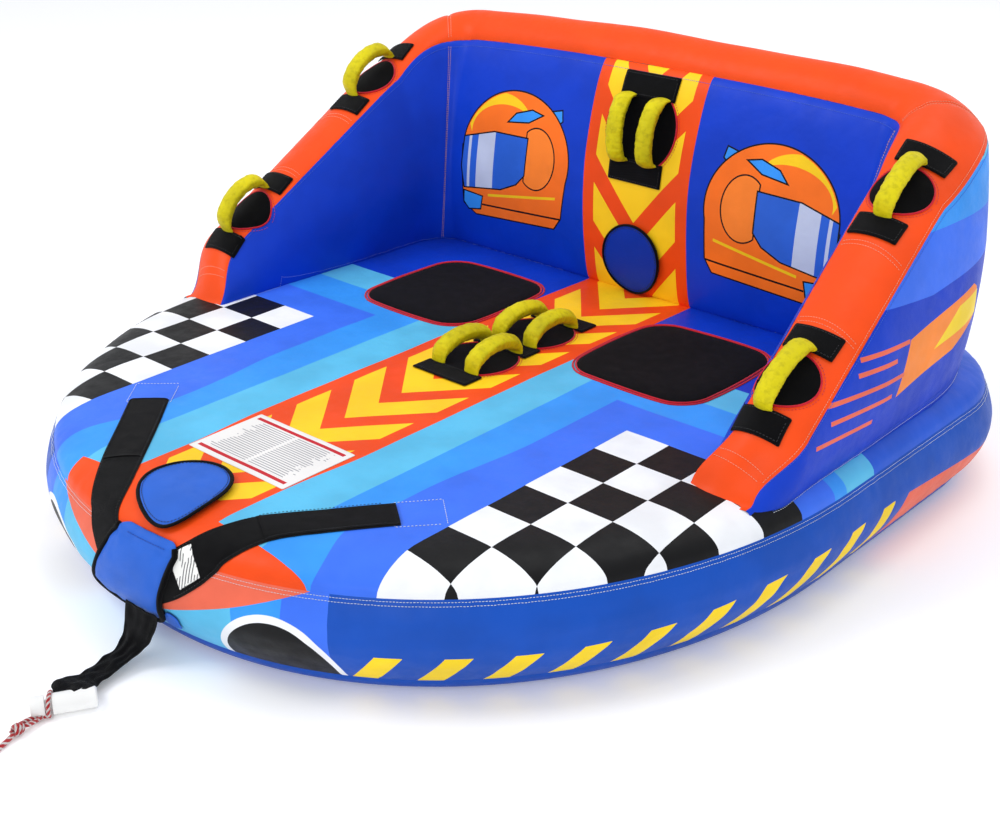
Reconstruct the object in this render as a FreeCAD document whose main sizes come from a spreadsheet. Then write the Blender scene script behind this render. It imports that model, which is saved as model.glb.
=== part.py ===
"""Two-rider towable tube: a round-nosed inflated deck with a sofa-shaped backrest.

Millimetres, +Z up, the nose and tow line towards -Y, the backrest towards +Y.
The origin lies on the floor under the middle of the tube.
"""
import FreeCAD, Part
import Sketcher
import math
import os

Vector = FreeCAD.Vector
Rotation = FreeCAD.Rotation
Placement = FreeCAD.Placement

doc = FreeCAD.newDocument("towable_tube")

# ---------------------------------------------------------------- driving dimensions
DIMENSIONS = [
    # base
    ("tube_width", 1638),
    ("tube_length", 1660),
    ("deck_height", 240),
    ("rear_corner", 156),
    ("shoulder_run", 50),
    ("shoulder_drop", 70),
    ("foot_run", 46),
    ("foot_rise", 75),
    ("edge_round", 50),
    ("deck_seam", 194),
    ("floor_seam", 30),
    # fabric and bladders
    ("cover_skin", 2.5),
    ("bladder_skin", 2.0),
    ("layer_gap", 0.5),
    # backrest
    ("arm_inside", 598),
    ("arm_outside", 760),
    ("arm_toe", -145),
    ("arm_toe_pitch", 58),
    ("arm_pitch", 32.15),
    ("arm_mark", -25),
    ("arm_mark_rise", 129),
    ("arm_round", 38),
    ("wall_lean", 5.6),
    ("back_face", 494),
    ("back_lean", 6.5),
    ("back_rear", 715),
    ("back_rise", 552),
    ("back_corner_rise", 512),
    ("back_corner", 80),
    ("back_round", 62),
    ("arm_end_cover", 65),
    ("arm_spread", 15),
    ("lining_drop", 5),
    ("band_drop", 44),
    ("band_back_start", 30),
    ("band_back_drop", 66),
    # seat pads
    ("pad_inside", 133),
    ("pad_outside", 451),
    ("pad_front", 90),
    ("pad_rear", 416),
    ("pad_thick", 10),
    ("pad_corner", 60),
    # grab handles and their sewn-on fittings
    ("handle_span", 120),
    ("handle_peak", 46),
    ("handle_pivot", 9.8),
    ("grip_radius", 17),
    ("grip_reach", 42),
    ("tail_radius", 7),
    ("handle_spacing", 82),
    ("patch_length", 50),
    ("patch_wide", 140),
    ("patch_narrow", 94),
    ("patch_thick", 3),
    ("patch_gap", 1),
    ("guard_radius", 92),
    ("arm_guard_radius", 56),
    ("guard_thick", 3),
    ("front_handles", 17),
    ("rear_handles", 190),
    ("back_handles", 360),
    ("low_arm_handle", 54),
    ("high_arm_handle", 493),
    ("low_arm_across", 690),
    ("high_arm_across", 670),
    # valves
    ("valve_radius", 19),
    ("valve_bore", 13),
    ("valve_flange", 32),
    ("valve_depth", 16),
    ("valve_fit", 0.2),
    ("cap_fit", 0.05),
    ("cap_radius", 24),
    ("cap_thick", 6),
    ("deck_flap_radius", 80),
    ("back_flap_radius", 74),
    ("flap_thick", 2.5),
    ("flap_lift", 9),
    ("deck_valve", -697),
    ("back_valve", 78),
    # tow harness
    ("strap_wide", 74),
    ("strap_thick", 3),
    ("strap_tail_across", 328),
    ("strap_tail_along", -529),
    ("strap_nose_across", 150),
    ("strap_nose_along", -735),
    ("tow_patch_wide", 186),
    ("tow_patch_thick", 10),
    ("tow_patch_top", 196),
    ("tow_patch_foot", 76),
    ("tow_strap_wide", 30),
    ("tow_strap_thick", 4),
    ("strap_across", 4),
    ("strap_start", -866),
    ("strap_hang", 84),
    ("strap_drop_reach", 42),
    ("strap_gap", 1),
    ("strap_ramp", 16),
    ("strap_bend", 2),
    # label
    ("label_wide", 250),
    ("label_front", -596),
    ("label_rear", -430),
    ("label_thick", 1),
    ("tag_across", 158),
    ("tag_along", -725),
    ("tag_turn", 49),
    ("tag_wide", 40),
    ("tag_long", 46),
    # quick connector and rope
    ("connector_tail_across", 99),
    ("connector_tail_along", -969),
    ("connector_tip_across", 47),
    ("connector_tip_along", -1057),
    ("connector_length", 102),
    ("connector_radius", 17),
    ("slot_start", 8),
    ("slot_length", 58),
    ("slot_past_middle", 11),
    ("strap_aim", 5),
    ("slot_tall", 10),
    ("groove_inset", 34),
    ("groove_wide", 12),
    ("groove_radius", 9),
    ("rope_radius", 4),
    ("leg_gap", 1.5),
    ("knot_radius", 11),
    ("knot_across", 72),
    ("knot_along", -1095),
    ("coil_outside", 112),
    ("coil_inside", 58),
    ("coil_tall", 50),
    ("coil_round", 10),
    ("coil_across", -5),
    ("coil_along", -1294),
    # closing zip
    ("zip_length", 900),
    ("zip_wide", 34),
    ("zip_height", 120),
    ("zip_tape", 1.5),
    ("slider_long", 16),
    ("slider_thick", 6),
    ("slider_wide", 12),
    ("slider_inset", 6),
]

sheet = doc.addObject("Spreadsheet::Sheet", "Dimensions")
for row, (alias, amount) in enumerate(DIMENSIONS, start=1):
    sheet.set("A%d" % row, alias)
    sheet.set("B%d" % row, str(amount))
    sheet.setAlias("B%d" % row, alias)
# One cell of this sheet works out the formulas of places while the pieces are laid out.
working = doc.addObject("Spreadsheet::Sheet", "Working")
doc.recompute()

size = {alias: float(sheet.get(alias)) for alias, _ in DIMENSIONS}

# Millimetres within which an edge counts as lying on a plane.
NEAR = 1


def cell(formula):
    """Turns words of the sheet inside a formula into references to its cells."""
    words = []
    word = ""
    for letter in formula + " ":
        if letter.isalnum() or letter == "_" or letter == ".":
            word += letter
            continue
        words.append("Dimensions." + word if word in size else word)
        words.append(letter)
        word = ""
    return "".join(words).strip()


# ---------------------------------------------------------------- building helpers
def number(formula):
    """The value of a formula of the sheet's words."""
    working.set("A1", "=" + cell(formula))
    working.recompute()
    return float(working.get("A1"))


def label(item, name):
    item.Label = name
    return item


def box(name, corner, extent, place=None):
    """Part box from formulas for its low corner and its size; place is a frame to put it in."""
    item = doc.addObject("Part::Box", name)
    for side, formula in zip(("Length", "Width", "Height"), extent):
        item.setExpression(side, cell(formula))
    if place is None:
        for side, formula in zip("xyz", corner):
            item.setExpression(".Placement.Base." + side, cell(formula))
    else:
        low = Vector(*[number(formula) for formula in corner])
        item.Placement = place.multiply(Placement(low, Rotation()))
    return label(item, name)


def cylinder(name, radius, tall, place):
    item = doc.addObject("Part::Cylinder", name)
    item.setExpression("Radius", cell(radius))
    item.setExpression("Height", cell(tall))
    item.Placement = place
    return label(item, name)


def cut(name, base, tool):
    item = doc.addObject("Part::Cut", name)
    item.Base = base
    item.Tool = tool
    return label(item, name)


def common(name, base, tool):
    item = doc.addObject("Part::Common", name)
    item.Base = base
    item.Tool = tool
    return label(item, name)


def fuse(name, pieces):
    item = doc.addObject("Part::MultiFuse", name)
    item.Shapes = pieces
    item.Refine = True
    return label(item, name)


def group(name, pieces):
    """Several separate solids in one node."""
    item = doc.addObject("Part::Compound", name)
    item.Links = pieces
    return label(item, name)


def mirror(name, source):
    """The copy on the other side of the centre plane."""
    item = doc.addObject("Part::Mirroring", name)
    item.Source = source
    item.Base = Vector(0, 0, 0)
    item.Normal = Vector(1, 0, 0)
    return label(item, name)


def sketched_body(name, plane):
    body = doc.addObject("PartDesign::Body", name)
    sketch = body.newObject("Sketcher::SketchObject", name + "_sketch")
    origin = [part for part in body.Origin.OriginFeatures if part.Role == plane][0]
    sketch.AttachmentSupport = (origin, [""])
    sketch.MapMode = "FlatFace"
    return label(body, name), sketch


def bind(sketch, rule, formula):
    """Adds a sketch rule whose number follows a formula of the sheet."""
    place = sketch.addConstraint(rule)
    sketch.setExpression("Constraints[%d]" % place, cell(formula))


def polygon(sketch, corners):
    """Closed outline of straight lines whose corners are pairs of formulas."""
    places = [Vector(number(across), number(up), 0) for across, up in corners]
    count = len(places)
    for index in range(count):
        line = Part.LineSegment(places[index], places[(index + 1) % count])
        sketch.addGeometry(line, False)
    for index in range(count):
        following = (index + 1) % count
        sketch.addConstraint(Sketcher.Constraint("Coincident", index, 2, following, 1))
    for index, corner in enumerate(corners):
        for kind, formula in zip(("DistanceX", "DistanceY"), corner):
            bind(sketch, Sketcher.Constraint(kind, -1, 1, index, 1, number(formula)), formula)


def padded_body(name, plane, corners, length, midplane=False, turned=False):
    """Straight-sided outline drawn out to a length."""
    body, sketch = sketched_body(name, plane)
    polygon(sketch, corners)
    pad = body.newObject("PartDesign::Pad", name + "_pad")
    pad.Profile = sketch
    pad.setExpression("Length", cell(length))
    pad.Midplane = midplane
    pad.Reversed = turned
    sketch.Visibility = False
    doc.recompute()
    return body


def edges_where(shape, test):
    """Names of the edges whose box passes a test."""
    return ["Edge%d" % place for place, edge in enumerate(shape.Edges, start=1)
            if test(edge.BoundBox)]


def fillet(name, form, radius, test):
    """Rounds the edges of a form that pass a test."""
    item = doc.addObject("Part::Fillet", name)
    item.Base = form
    amount = number(radius)
    picked = [int(edge[4:]) for edge in edges_where(form.Shape, test)]
    item.Edges = [(edge, amount, amount) for edge in picked]
    doc.recompute()
    return label(item, name)


# ---------------------------------------------------------------- inflated base
def base_block(name, depth):
    """The base's outer form, or the same form shrunk by a depth: half-round nose, straight sides."""
    body, sketch = sketched_body(name, "XY_Plane")
    half_width = "(tube_width / 2 - %s)" % depth
    nose_line = "((tube_width - tube_length) / 2)"
    rear_line = "(tube_length / 2 - %s)" % depth
    half = number(half_width)
    nose = number(nose_line)
    rear = number(rear_line)
    arc = Part.ArcOfCircle(Part.Circle(Vector(0, nose, 0), Vector(0, 0, 1), half),
                           math.pi, 2 * math.pi)
    sketch.addGeometry(arc, False)
    corners = [Vector(half, nose, 0), Vector(half, rear, 0), Vector(-half, rear, 0),
               Vector(-half, nose, 0)]
    for start, end in zip(corners, corners[1:]):
        sketch.addGeometry(Part.LineSegment(start, end), False)
    for first, second in ((0, 1), (1, 2), (2, 3), (3, 0)):
        sketch.addConstraint(Sketcher.Constraint("Coincident", first, 2, second, 1))
    for line, end, across, along in ((1, 1, half_width, nose_line), (1, 2, half_width, rear_line),
                                     (2, 2, "-" + half_width, rear_line),
                                     (3, 2, "-" + half_width, nose_line)):
        bind(sketch, Sketcher.Constraint("DistanceX", -1, 1, line, end, number(across)), across)
        bind(sketch, Sketcher.Constraint("DistanceY", -1, 1, line, end, number(along)), along)
    bind(sketch, Sketcher.Constraint("DistanceY", -1, 1, 0, 3, nose), nose_line)

    pad = body.newObject("PartDesign::Pad", name + "_pad")
    pad.Profile = sketch
    pad.setExpression("Length", cell("deck_height - 2 * %s" % depth))
    doc.recompute()

    corner = body.newObject("PartDesign::Fillet", name + "_rear_corners")
    corner.Base = (pad, edges_where(pad.Shape, lambda b: b.YMin > rear - NEAR and b.XLength < NEAR))
    corner.setExpression("Radius", cell("rear_corner - %s" % depth))
    doc.recompute()

    top = corner.Shape.BoundBox.ZMax
    shoulder = body.newObject("PartDesign::Chamfer", name + "_shoulder")
    shoulder.Base = (corner, edges_where(corner.Shape, lambda b: b.ZMin > top - NEAR))
    shoulder.ChamferType = "Two distances"
    shoulder.setExpression("Size", cell("shoulder_run"))
    shoulder.setExpression("Size2", cell("shoulder_drop"))
    shoulder.FlipDirection = True
    doc.recompute()

    foot = body.newObject("PartDesign::Chamfer", name + "_foot")
    foot.Base = (shoulder, edges_where(shoulder.Shape, lambda b: b.ZMax < NEAR))
    foot.ChamferType = "Two distances"
    foot.setExpression("Size", cell("foot_run"))
    foot.setExpression("Size2", cell("foot_rise"))
    foot.FlipDirection = True
    doc.recompute()

    rounded = body.newObject("PartDesign::Fillet", name + "_rounding")
    rounded.Base = (foot, edges_where(foot.Shape, lambda b: b.ZLength < 0.01))
    rounded.setExpression("Radius", cell("edge_round - %s" % depth))
    body.Placement = Placement(Vector(0, 0, number(depth)), Rotation())
    doc.recompute()
    return body


OUTSIDE = "0"
LINING = "cover_skin"
BLADDER = "(cover_skin + layer_gap)"
AIR = "(cover_skin + layer_gap + bladder_skin)"
base_form = base_block("base_form", OUTSIDE)


def surface_frame(which, along, across=0.0):
    """A frame standing on a surface: its Z leaves the surface and its Y runs rearward or up it."""
    deck = size["deck_height"]
    if which == "deck":
        return Placement(Vector(across, along, deck), Rotation())
    if which == "back":
        turn = Rotation(Vector(1, 0, 0), 90 - size["back_lean"])
        start = Vector(across, size["back_face"], deck)
    else:
        turn = Rotation(Vector(1, 0, 0), size["arm_pitch"])
        start = Vector(across, size["arm_mark"], deck + size["arm_mark_rise"])
    return Placement(start + turn.multVec(Vector(0, along, 0)), turn)


deck_valve_frame = surface_frame("deck", size["deck_valve"])
back_valve_frame = surface_frame("back", size["back_valve"])


def moved(frame, across=0.0, along=0.0, out=0.0):
    """A frame shifted along its own directions."""
    return frame.multiply(Placement(Vector(across, along, out), Rotation()))


def valve_hole(name, frame):
    return cylinder(name, "valve_radius + valve_fit", "4 * valve_depth",
                    moved(frame, out=-2 * size["valve_depth"]))


base_lining = base_block("base_lining", LINING)
bladder_outside = base_block("base_bladder_outside", BLADDER)
bladder_inside = base_block("base_bladder_inside", AIR)

base_cover = cut("base_cover", base_form, base_lining)
deck_hole = valve_hole("deck_valve_hole", deck_valve_frame)
SLAB = ("-tube_width", "-tube_length")
SLAB_EXTENT = ("2 * tube_width", "2 * tube_length")
deck_slab = box("deck_slab", SLAB + ("deck_seam",), SLAB_EXTENT + ("deck_height",))
side_slab = box("side_slab", SLAB + ("floor_seam",), SLAB_EXTENT + ("deck_seam - floor_seam",))
floor_slab = box("floor_slab", SLAB + ("-deck_height",), SLAB_EXTENT + ("deck_height + floor_seam",))
deck_skin = common("deck_skin", base_cover, deck_slab)
NODES = [
    cut("deck_cover", deck_skin, deck_hole),
    common("side_band", base_cover, side_slab),
    common("bottom_cover", base_cover, floor_slab),
]
base_shell = cut("base_bladder_shell", bladder_outside, bladder_inside)
NODES.append(cut("base_bladder", base_shell, deck_hole))
doc.recompute()


# ---------------------------------------------------------------- backrest
def backrest_form(name, depth, drop):
    """Left arm, back and right arm in one form shrunk by a depth, its foot a drop below the deck."""
    low = "deck_height - " + drop
    lean_out = "(arm_outside + arm_spread - %s / cos(wall_lean))" % depth
    lean_foot = "(%s + %s * tan(wall_lean))" % (lean_out, drop)
    corner_rise = "(back_corner_rise - %s)" % depth
    corner_in = "(%s - %s * tan(wall_lean))" % (lean_out, corner_rise)
    outline = padded_body(name + "_outline", "XZ_Plane", [
        ("-" + lean_foot, low),
        (lean_foot, low),
        (corner_in, "deck_height + " + corner_rise),
        ("0", "deck_height + back_rise - " + depth),
        ("-" + corner_in, "deck_height + " + corner_rise),
    ], "4 * back_rear", midplane=True)
    rounded = fillet(name + "_outline_rounded", outline, "back_corner - " + depth,
                     lambda b: b.ZLength < 0.01 and b.XLength < 0.01 and abs(b.XMin) > NEAR
                     and b.ZMin > size["deck_height"] + size["back_rise"] / 2)

    face = "(back_face + %s / cos(back_lean))" % depth
    rear = "(back_rear - %s)" % depth
    section = padded_body(name + "_section", "YZ_Plane", [
        (face + " - %s * tan(back_lean)" % drop, low),
        (rear, low),
        (rear, "deck_height + 2 * back_rise"),
        (face + " + 2 * back_rise * tan(back_lean)", "deck_height + 2 * back_rise"),
    ], "2 * tube_width", midplane=True)
    back_block = common(name + "_back_block", section, rounded)
    doc.recompute()
    lowest = back_block.Shape.BoundBox.ZMin + NEAR
    back = fillet(name + "_back", back_block, "back_round - " + depth,
                  lambda b: b.YLength < 40 and b.ZMax > lowest and b.XLength + b.ZLength > 20)

    toe = "(arm_toe + %s / sin(arm_toe_pitch))" % depth
    mark_rise = "(arm_mark_rise - %s / cos(arm_pitch))" % depth
    knee = "((%s - (arm_mark - %s) * tan(arm_pitch)) / (tan(arm_toe_pitch) - tan(arm_pitch)))" % (
        mark_rise, toe)
    arm_end = "(back_rear - arm_end_cover)"
    profile = padded_body(name + "_arm_profile", "YZ_Plane", [
        (toe + " - %s / tan(arm_toe_pitch)" % drop, low),
        (arm_end, low),
        (arm_end,
         "deck_height + %s + (%s - arm_mark) * tan(arm_pitch)" % (mark_rise, arm_end)),
        (toe + " + " + knee, "deck_height + " + knee + " * tan(arm_toe_pitch)"),
    ], "arm_outside")
    profile.Placement = Placement(Vector(number("arm_inside + " + depth), 0, 0), Rotation())
    arm_block = common(name + "_arm_block", profile, rounded)
    doc.recompute()
    end = number(arm_end) - 2 * NEAR
    arm_foot = number(low) + NEAR
    right = fillet(name + "_right_arm", arm_block, "arm_round - " + depth,
                   lambda b: b.ZMax > arm_foot and b.YMin < end)
    left = mirror(name + "_left_arm", right)
    doc.recompute()

    whole = fuse(name, [left, back, right])
    doc.recompute()
    return whole


rest_outside = backrest_form("rest_outside", OUTSIDE, "0")
rest_lining = backrest_form("rest_lining", LINING, "lining_drop")
rest_bladder_outside = backrest_form("rest_bladder_outside", BLADDER, "(-layer_gap)")
rest_bladder_inside = backrest_form("rest_bladder_inside", AIR, "(-layer_gap - bladder_skin)")
rest_cover = cut("rest_cover", rest_outside, rest_lining)
rest_shell = cut("rest_shell", rest_bladder_outside, rest_bladder_inside)
back_hole = valve_hole("back_valve_hole", back_valve_frame)
rest_bladder = cut("rest_bladder", rest_shell, back_hole)
doc.recompute()

# The bright band caps the arms and the back; below it the inner and outer walls meet the deck.
band_line = "(deck_height + arm_mark_rise - band_drop / cos(arm_pitch))"
band_start = "back_face + band_back_start"
band_region = padded_body("band_region", "YZ_Plane", [
    ("4 * arm_toe", band_line + " + (4 * arm_toe - arm_mark) * tan(arm_pitch)"),
    (band_start, band_line + " + (" + band_start + " - arm_mark) * tan(arm_pitch)"),
    (band_start, "deck_height + back_rise - band_back_drop"),
    ("2 * back_rear", "deck_height + back_rise - band_back_drop"),
    ("2 * back_rear", "deck_height + 2 * back_rise"),
    ("4 * arm_toe", "deck_height + 2 * back_rise"),
], "2 * tube_width", midplane=True)
middle = "((arm_inside + arm_outside) / 2)"
inner_region = box("inner_region", ("-" + middle, "-tube_length", "0"),
                   ("2 * " + middle, "tube_length + (back_face + back_rear) / 2",
                    "deck_height + 2 * back_rise"))
top_band = common("backrest_top_band", rest_cover, band_region)
walls = cut("backrest_walls", rest_cover, band_region)
inner_wall = common("backrest_inner_wall", walls, inner_region)
NODES += [
    top_band,
    cut("backrest_inner_cover", inner_wall, back_hole),
    cut("backrest_outer_cover", walls, inner_region),
]
doc.recompute()

# The backrest's bladder is welded up from an arm, a back and an arm.
back_region = box("back_region", ("-tube_width", "back_face", "0"),
                  ("2 * tube_width", "tube_length", "deck_height + 2 * back_rise"))
right_region = box("right_region", ("0", "-tube_length", "0"),
                   ("tube_width", "tube_length + back_face", "deck_height + 2 * back_rise"))
arms = cut("arm_bladders", rest_bladder, back_region)
NODES += [
    common("back_bladder", rest_bladder, back_region),
    common("arm_bladder_right", arms, right_region),
    cut("arm_bladder_left", arms, right_region),
]
doc.recompute()


# ---------------------------------------------------------------- seat pads, label and tag
def plate(name, frame, outline, thick, corner=None):
    """A flat piece lying on a surface: low across, high across, low along, high along."""
    low_across, high_across, low_along, high_along = outline
    extent = ("%s - (%s)" % (high_across, low_across), "%s - (%s)" % (high_along, low_along), thick)
    item = box(name, (low_across, low_along, "0"), extent, frame)
    if corner is None:
        return item
    doc.recompute()
    tall = number(thick)
    item.Label = name + "_blank"
    rounded = doc.addObject("Part::Fillet", name)
    rounded.Base = item
    upright = [place for place, edge in enumerate(item.Shape.Edges, start=1)
               if abs(edge.Length - tall) < 0.01]
    rounded.Edges = [(edge, number(corner), number(corner)) for edge in upright]
    return label(rounded, name)


deck_frame = surface_frame("deck", 0)
pad_right = plate("seat_pad_right", deck_frame,
                  ("pad_inside", "pad_outside", "pad_front", "pad_rear"), "pad_thick", "pad_corner")
doc.recompute()
NODES += [
    pad_right,
    mirror("seat_pad_left", pad_right),
    plate("label_panel", deck_frame,
          ("-label_wide / 2", "label_wide / 2", "label_front", "label_rear"), "label_thick"),
]


# ---------------------------------------------------------------- grab handles
def guard(name, frame, radius, patches):
    """Round knuckle guard under a handle, notched where the handle's patches are sewn down."""
    disc = cylinder(name + "_disc", radius, "guard_thick", frame)
    return cut(name, disc, group(name + "_notches", patches))


def handle(name, frame):
    """Padded grip bowed up between two round tails that pivot on the frame's Y axis."""
    body, path = sketched_body(name, "YZ_Plane")
    half = number("handle_span / 2")
    rise = number("handle_peak - handle_pivot")
    radius = (half ** 2 + rise ** 2) / (2 * rise)
    middle_height = size["handle_peak"] - radius
    sweep = math.asin(half / radius)
    circle = Part.Circle(Vector(0, middle_height, 0), Vector(0, 0, 1), radius)
    path.addGeometry(Part.ArcOfCircle(circle, math.pi / 2 - sweep, math.pi / 2 + sweep), False)
    rules = [
        (Sketcher.Constraint("DistanceX", -1, 1, 0, 1, half), "handle_span / 2"),
        (Sketcher.Constraint("DistanceY", -1, 1, 0, 1, size["handle_pivot"]), "handle_pivot"),
        (Sketcher.Constraint("DistanceY", -1, 1, 0, 2, size["handle_pivot"]), "handle_pivot"),
        (Sketcher.Constraint("DistanceY", -1, 1, 0, 3, middle_height),
         "handle_peak - ((handle_span / 2)^2 + (handle_peak - handle_pivot)^2)"
         " / (2 * (handle_peak - handle_pivot))"),
        (Sketcher.Constraint("PointOnObject", 0, 3, -2), None),
    ]
    for rule, formula in rules:
        place = path.addConstraint(rule)
        if formula is not None:
            path.setExpression("Constraints[%d]" % place, cell(formula))
    doc.recompute()
    tail = body.newObject("PartDesign::AdditivePipe", name + "_tail")
    section = body.newObject("Sketcher::SketchObject", name + "_section")
    section.Placement = Placement(
        Vector(0, half, size["handle_pivot"]),
        Rotation(Vector(0, 0, 1), Vector(0, math.cos(sweep), -math.sin(sweep))))
    section.addGeometry(Part.Circle(Vector(0, 0, 0), Vector(0, 0, 1), size["tail_radius"]), False)
    section.addConstraint(Sketcher.Constraint("Coincident", 0, 3, -1, 1))
    place = section.addConstraint(Sketcher.Constraint("Radius", 0, size["tail_radius"]))
    section.setExpression("Constraints[%d]" % place, cell("tail_radius"))
    tail.Profile = section
    tail.Spine = (path, ["Edge1"])
    doc.recompute()
    reach = math.radians(size["grip_reach"])
    grip = body.newObject("PartDesign::AdditiveTorus", name + "_grip")
    grip.setExpression("Radius2", cell("grip_radius"))
    grip.setExpression("Radius1", cell(
        "((handle_span / 2)^2 + (handle_peak - handle_pivot)^2)"
        " / (2 * (handle_peak - handle_pivot))"))
    grip.Angle3 = math.degrees(2 * reach)
    grip.Placement = Placement(
        Vector(0, 0, middle_height),
        Rotation(Vector(0, math.sin(reach), math.cos(reach)),
                 Vector(0, -math.cos(reach), math.sin(reach)),
                 Vector(1, 0, 0), "XYZ"))
    doc.recompute()
    body.Placement = frame
    return body


def handle_station(name, which, along, patch_across, guard_across, handles, across=0.0):
    """A guard, its two patches and the handles over it; returns patches, guard and handles."""
    frame = surface_frame(which, along, across)
    edge = "(handle_span / 2 + patch_gap)"
    half = "(%s / 2)" % patch_across
    patches = [
        plate(name + "_patch_near", frame,
              ("-" + half, half, "-%s - patch_length" % edge, "-" + edge), "patch_thick"),
        plate(name + "_patch_far", frame,
              ("-" + half, half, edge, "%s + patch_length" % edge), "patch_thick"),
    ]
    disc = guard(name + "_knuckle_guard", frame, guard_across, patches)
    grips = [handle(title, moved(frame, across=shift)) for title, shift in handles]
    return patches, disc, grips


pair = number("handle_spacing / 2")
front_patches, front_guard, front_grips = handle_station(
    "front_deck", "deck", size["front_handles"], "patch_wide", "guard_radius",
    [("front_handle_left", -pair), ("front_handle_right", pair)])
rear_patches, rear_guard, rear_grips = handle_station(
    "rear_deck", "deck", size["rear_handles"], "patch_wide", "guard_radius",
    [("rear_handle_left", -pair), ("rear_handle_right", pair)])
back_patches, back_guard, back_grips = handle_station(
    "back", "back", size["back_handles"], "patch_wide", "guard_radius",
    [("back_handle_left", -pair), ("back_handle_right", pair)])
NODES += [group("deck_handle_patches", [front_patches[0], rear_patches[0], rear_patches[1]]),
          group("back_handle_patches", back_patches),
          group("deck_knuckle_guards", [front_guard, rear_guard]),
          back_guard]
NODES += front_grips + rear_grips + back_grips

for side, sign in (("left", -1), ("right", 1)):
    sewn = []
    guards = []
    for level, along, across in (("low", "low_arm_handle", "low_arm_across"),
                                 ("high", "high_arm_handle", "high_arm_across")):
        patches, disc, grips = handle_station(
            "%s_%s_arm" % (side, level), "arm", size[along], "patch_narrow", "arm_guard_radius",
            [("%s_arm_%s_handle" % (side, level), 0.0)], sign * size[across])
        sewn += patches
        guards.append(disc)
        NODES += grips
    NODES += [group("%s_arm_handle_patches" % side, sewn),
              group("%s_arm_knuckle_guards" % side, guards)]
doc.recompute()


# ---------------------------------------------------------------- valves and their flaps
def revolved(name, corners, frame):
    """A turned piece: its half section stands on the frame's Z axis."""
    body, sketch = sketched_body(name, "XZ_Plane")
    polygon(sketch, corners)
    turn = body.newObject("PartDesign::Revolution", name + "_turn")
    turn.Profile = sketch
    turn.ReferenceAxis = (sketch, ["V_Axis"])
    turn.Angle = 360
    doc.recompute()
    body.Placement = frame
    return body


def valve(prefix, frame):
    """Valve body welded to the bladder, its cap, and the flap that covers them."""
    depth = "(cover_skin + layer_gap + bladder_skin)"
    shell = revolved(prefix + "_valve_body", [
        ("valve_bore", "-%s - bladder_skin" % depth),
        ("valve_flange", "-%s - bladder_skin" % depth),
        ("valve_flange", "-" + depth),
        ("valve_radius", "-" + depth),
        ("valve_radius", "0"),
        ("valve_bore", "0"),
    ], frame)
    cap = revolved(prefix + "_valve_cap", [
        ("0", "-valve_depth / 2"),
        ("valve_bore - cap_fit", "-valve_depth / 2"),
        ("valve_bore - cap_fit", "layer_gap"),
        ("cap_radius", "layer_gap"),
        ("cap_radius", "layer_gap + cap_thick"),
        ("0", "layer_gap + cap_thick"),
    ], frame)
    flap = cylinder(prefix + "_valve_flap", prefix + "_flap_radius", "flap_thick",
                    moved(frame, out=size["flap_lift"]))
    return [shell, cap, flap]


NODES += valve("deck", deck_valve_frame)
NODES += valve("back", back_valve_frame)


# ---------------------------------------------------------------- tow harness
def harness_strap(name, sign):
    """One webbing leg, sewn down from the deck's shoulder to the nose."""
    tail = Vector(sign * size["strap_tail_across"], size["strap_tail_along"], size["deck_height"])
    nose = Vector(sign * size["strap_nose_across"], size["strap_nose_along"], size["deck_height"])
    run = nose - tail
    item = doc.addObject("Part::Box", name)
    item.Length = run.Length
    item.setExpression("Width", cell("strap_wide"))
    item.setExpression("Height", cell("strap_thick"))
    turn = Rotation(Vector(0, 0, 1), math.degrees(math.atan2(run.y, run.x)))
    item.Placement = Placement(tail - turn.multVec(Vector(0, size["strap_wide"] / 2, 0)), turn)
    return label(item, name)


NODES += [harness_strap("harness_strap_left", -1), harness_strap("harness_strap_right", 1)]

nose_face = "(-tube_length / 2)"
tow_patch = padded_body("tow_patch", "YZ_Plane", [
    (nose_face, "tow_patch_foot"),
    (nose_face, "deck_height - shoulder_drop"),
    (nose_face + " + (tow_patch_top - deck_height + shoulder_drop) * shoulder_run / shoulder_drop",
     "tow_patch_top"),
    (nose_face + " + (tow_patch_top - deck_height + shoulder_drop) * shoulder_run / shoulder_drop"
     " - tow_patch_thick", "tow_patch_top + tow_patch_thick * shoulder_run / shoulder_drop"),
    (nose_face + " - tow_patch_thick", "deck_height - shoulder_drop + tow_patch_thick / 2"),
    (nose_face + " - tow_patch_thick", "tow_patch_foot"),
], "tow_patch_wide", midplane=True)
NODES.append(tow_patch)

# The tow strap hangs from under the patch, meets the floor and ends in the connector's slot.
STRAP_TOP = Vector(size["strap_across"], size["strap_start"], 0)
CONNECTOR_TAIL = Vector(size["connector_tail_across"], size["connector_tail_along"], 0)
connector_turn = math.degrees(math.atan2(size["connector_tip_along"] - CONNECTOR_TAIL.y,
                                         size["connector_tip_across"] - CONNECTOR_TAIL.x))
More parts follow.
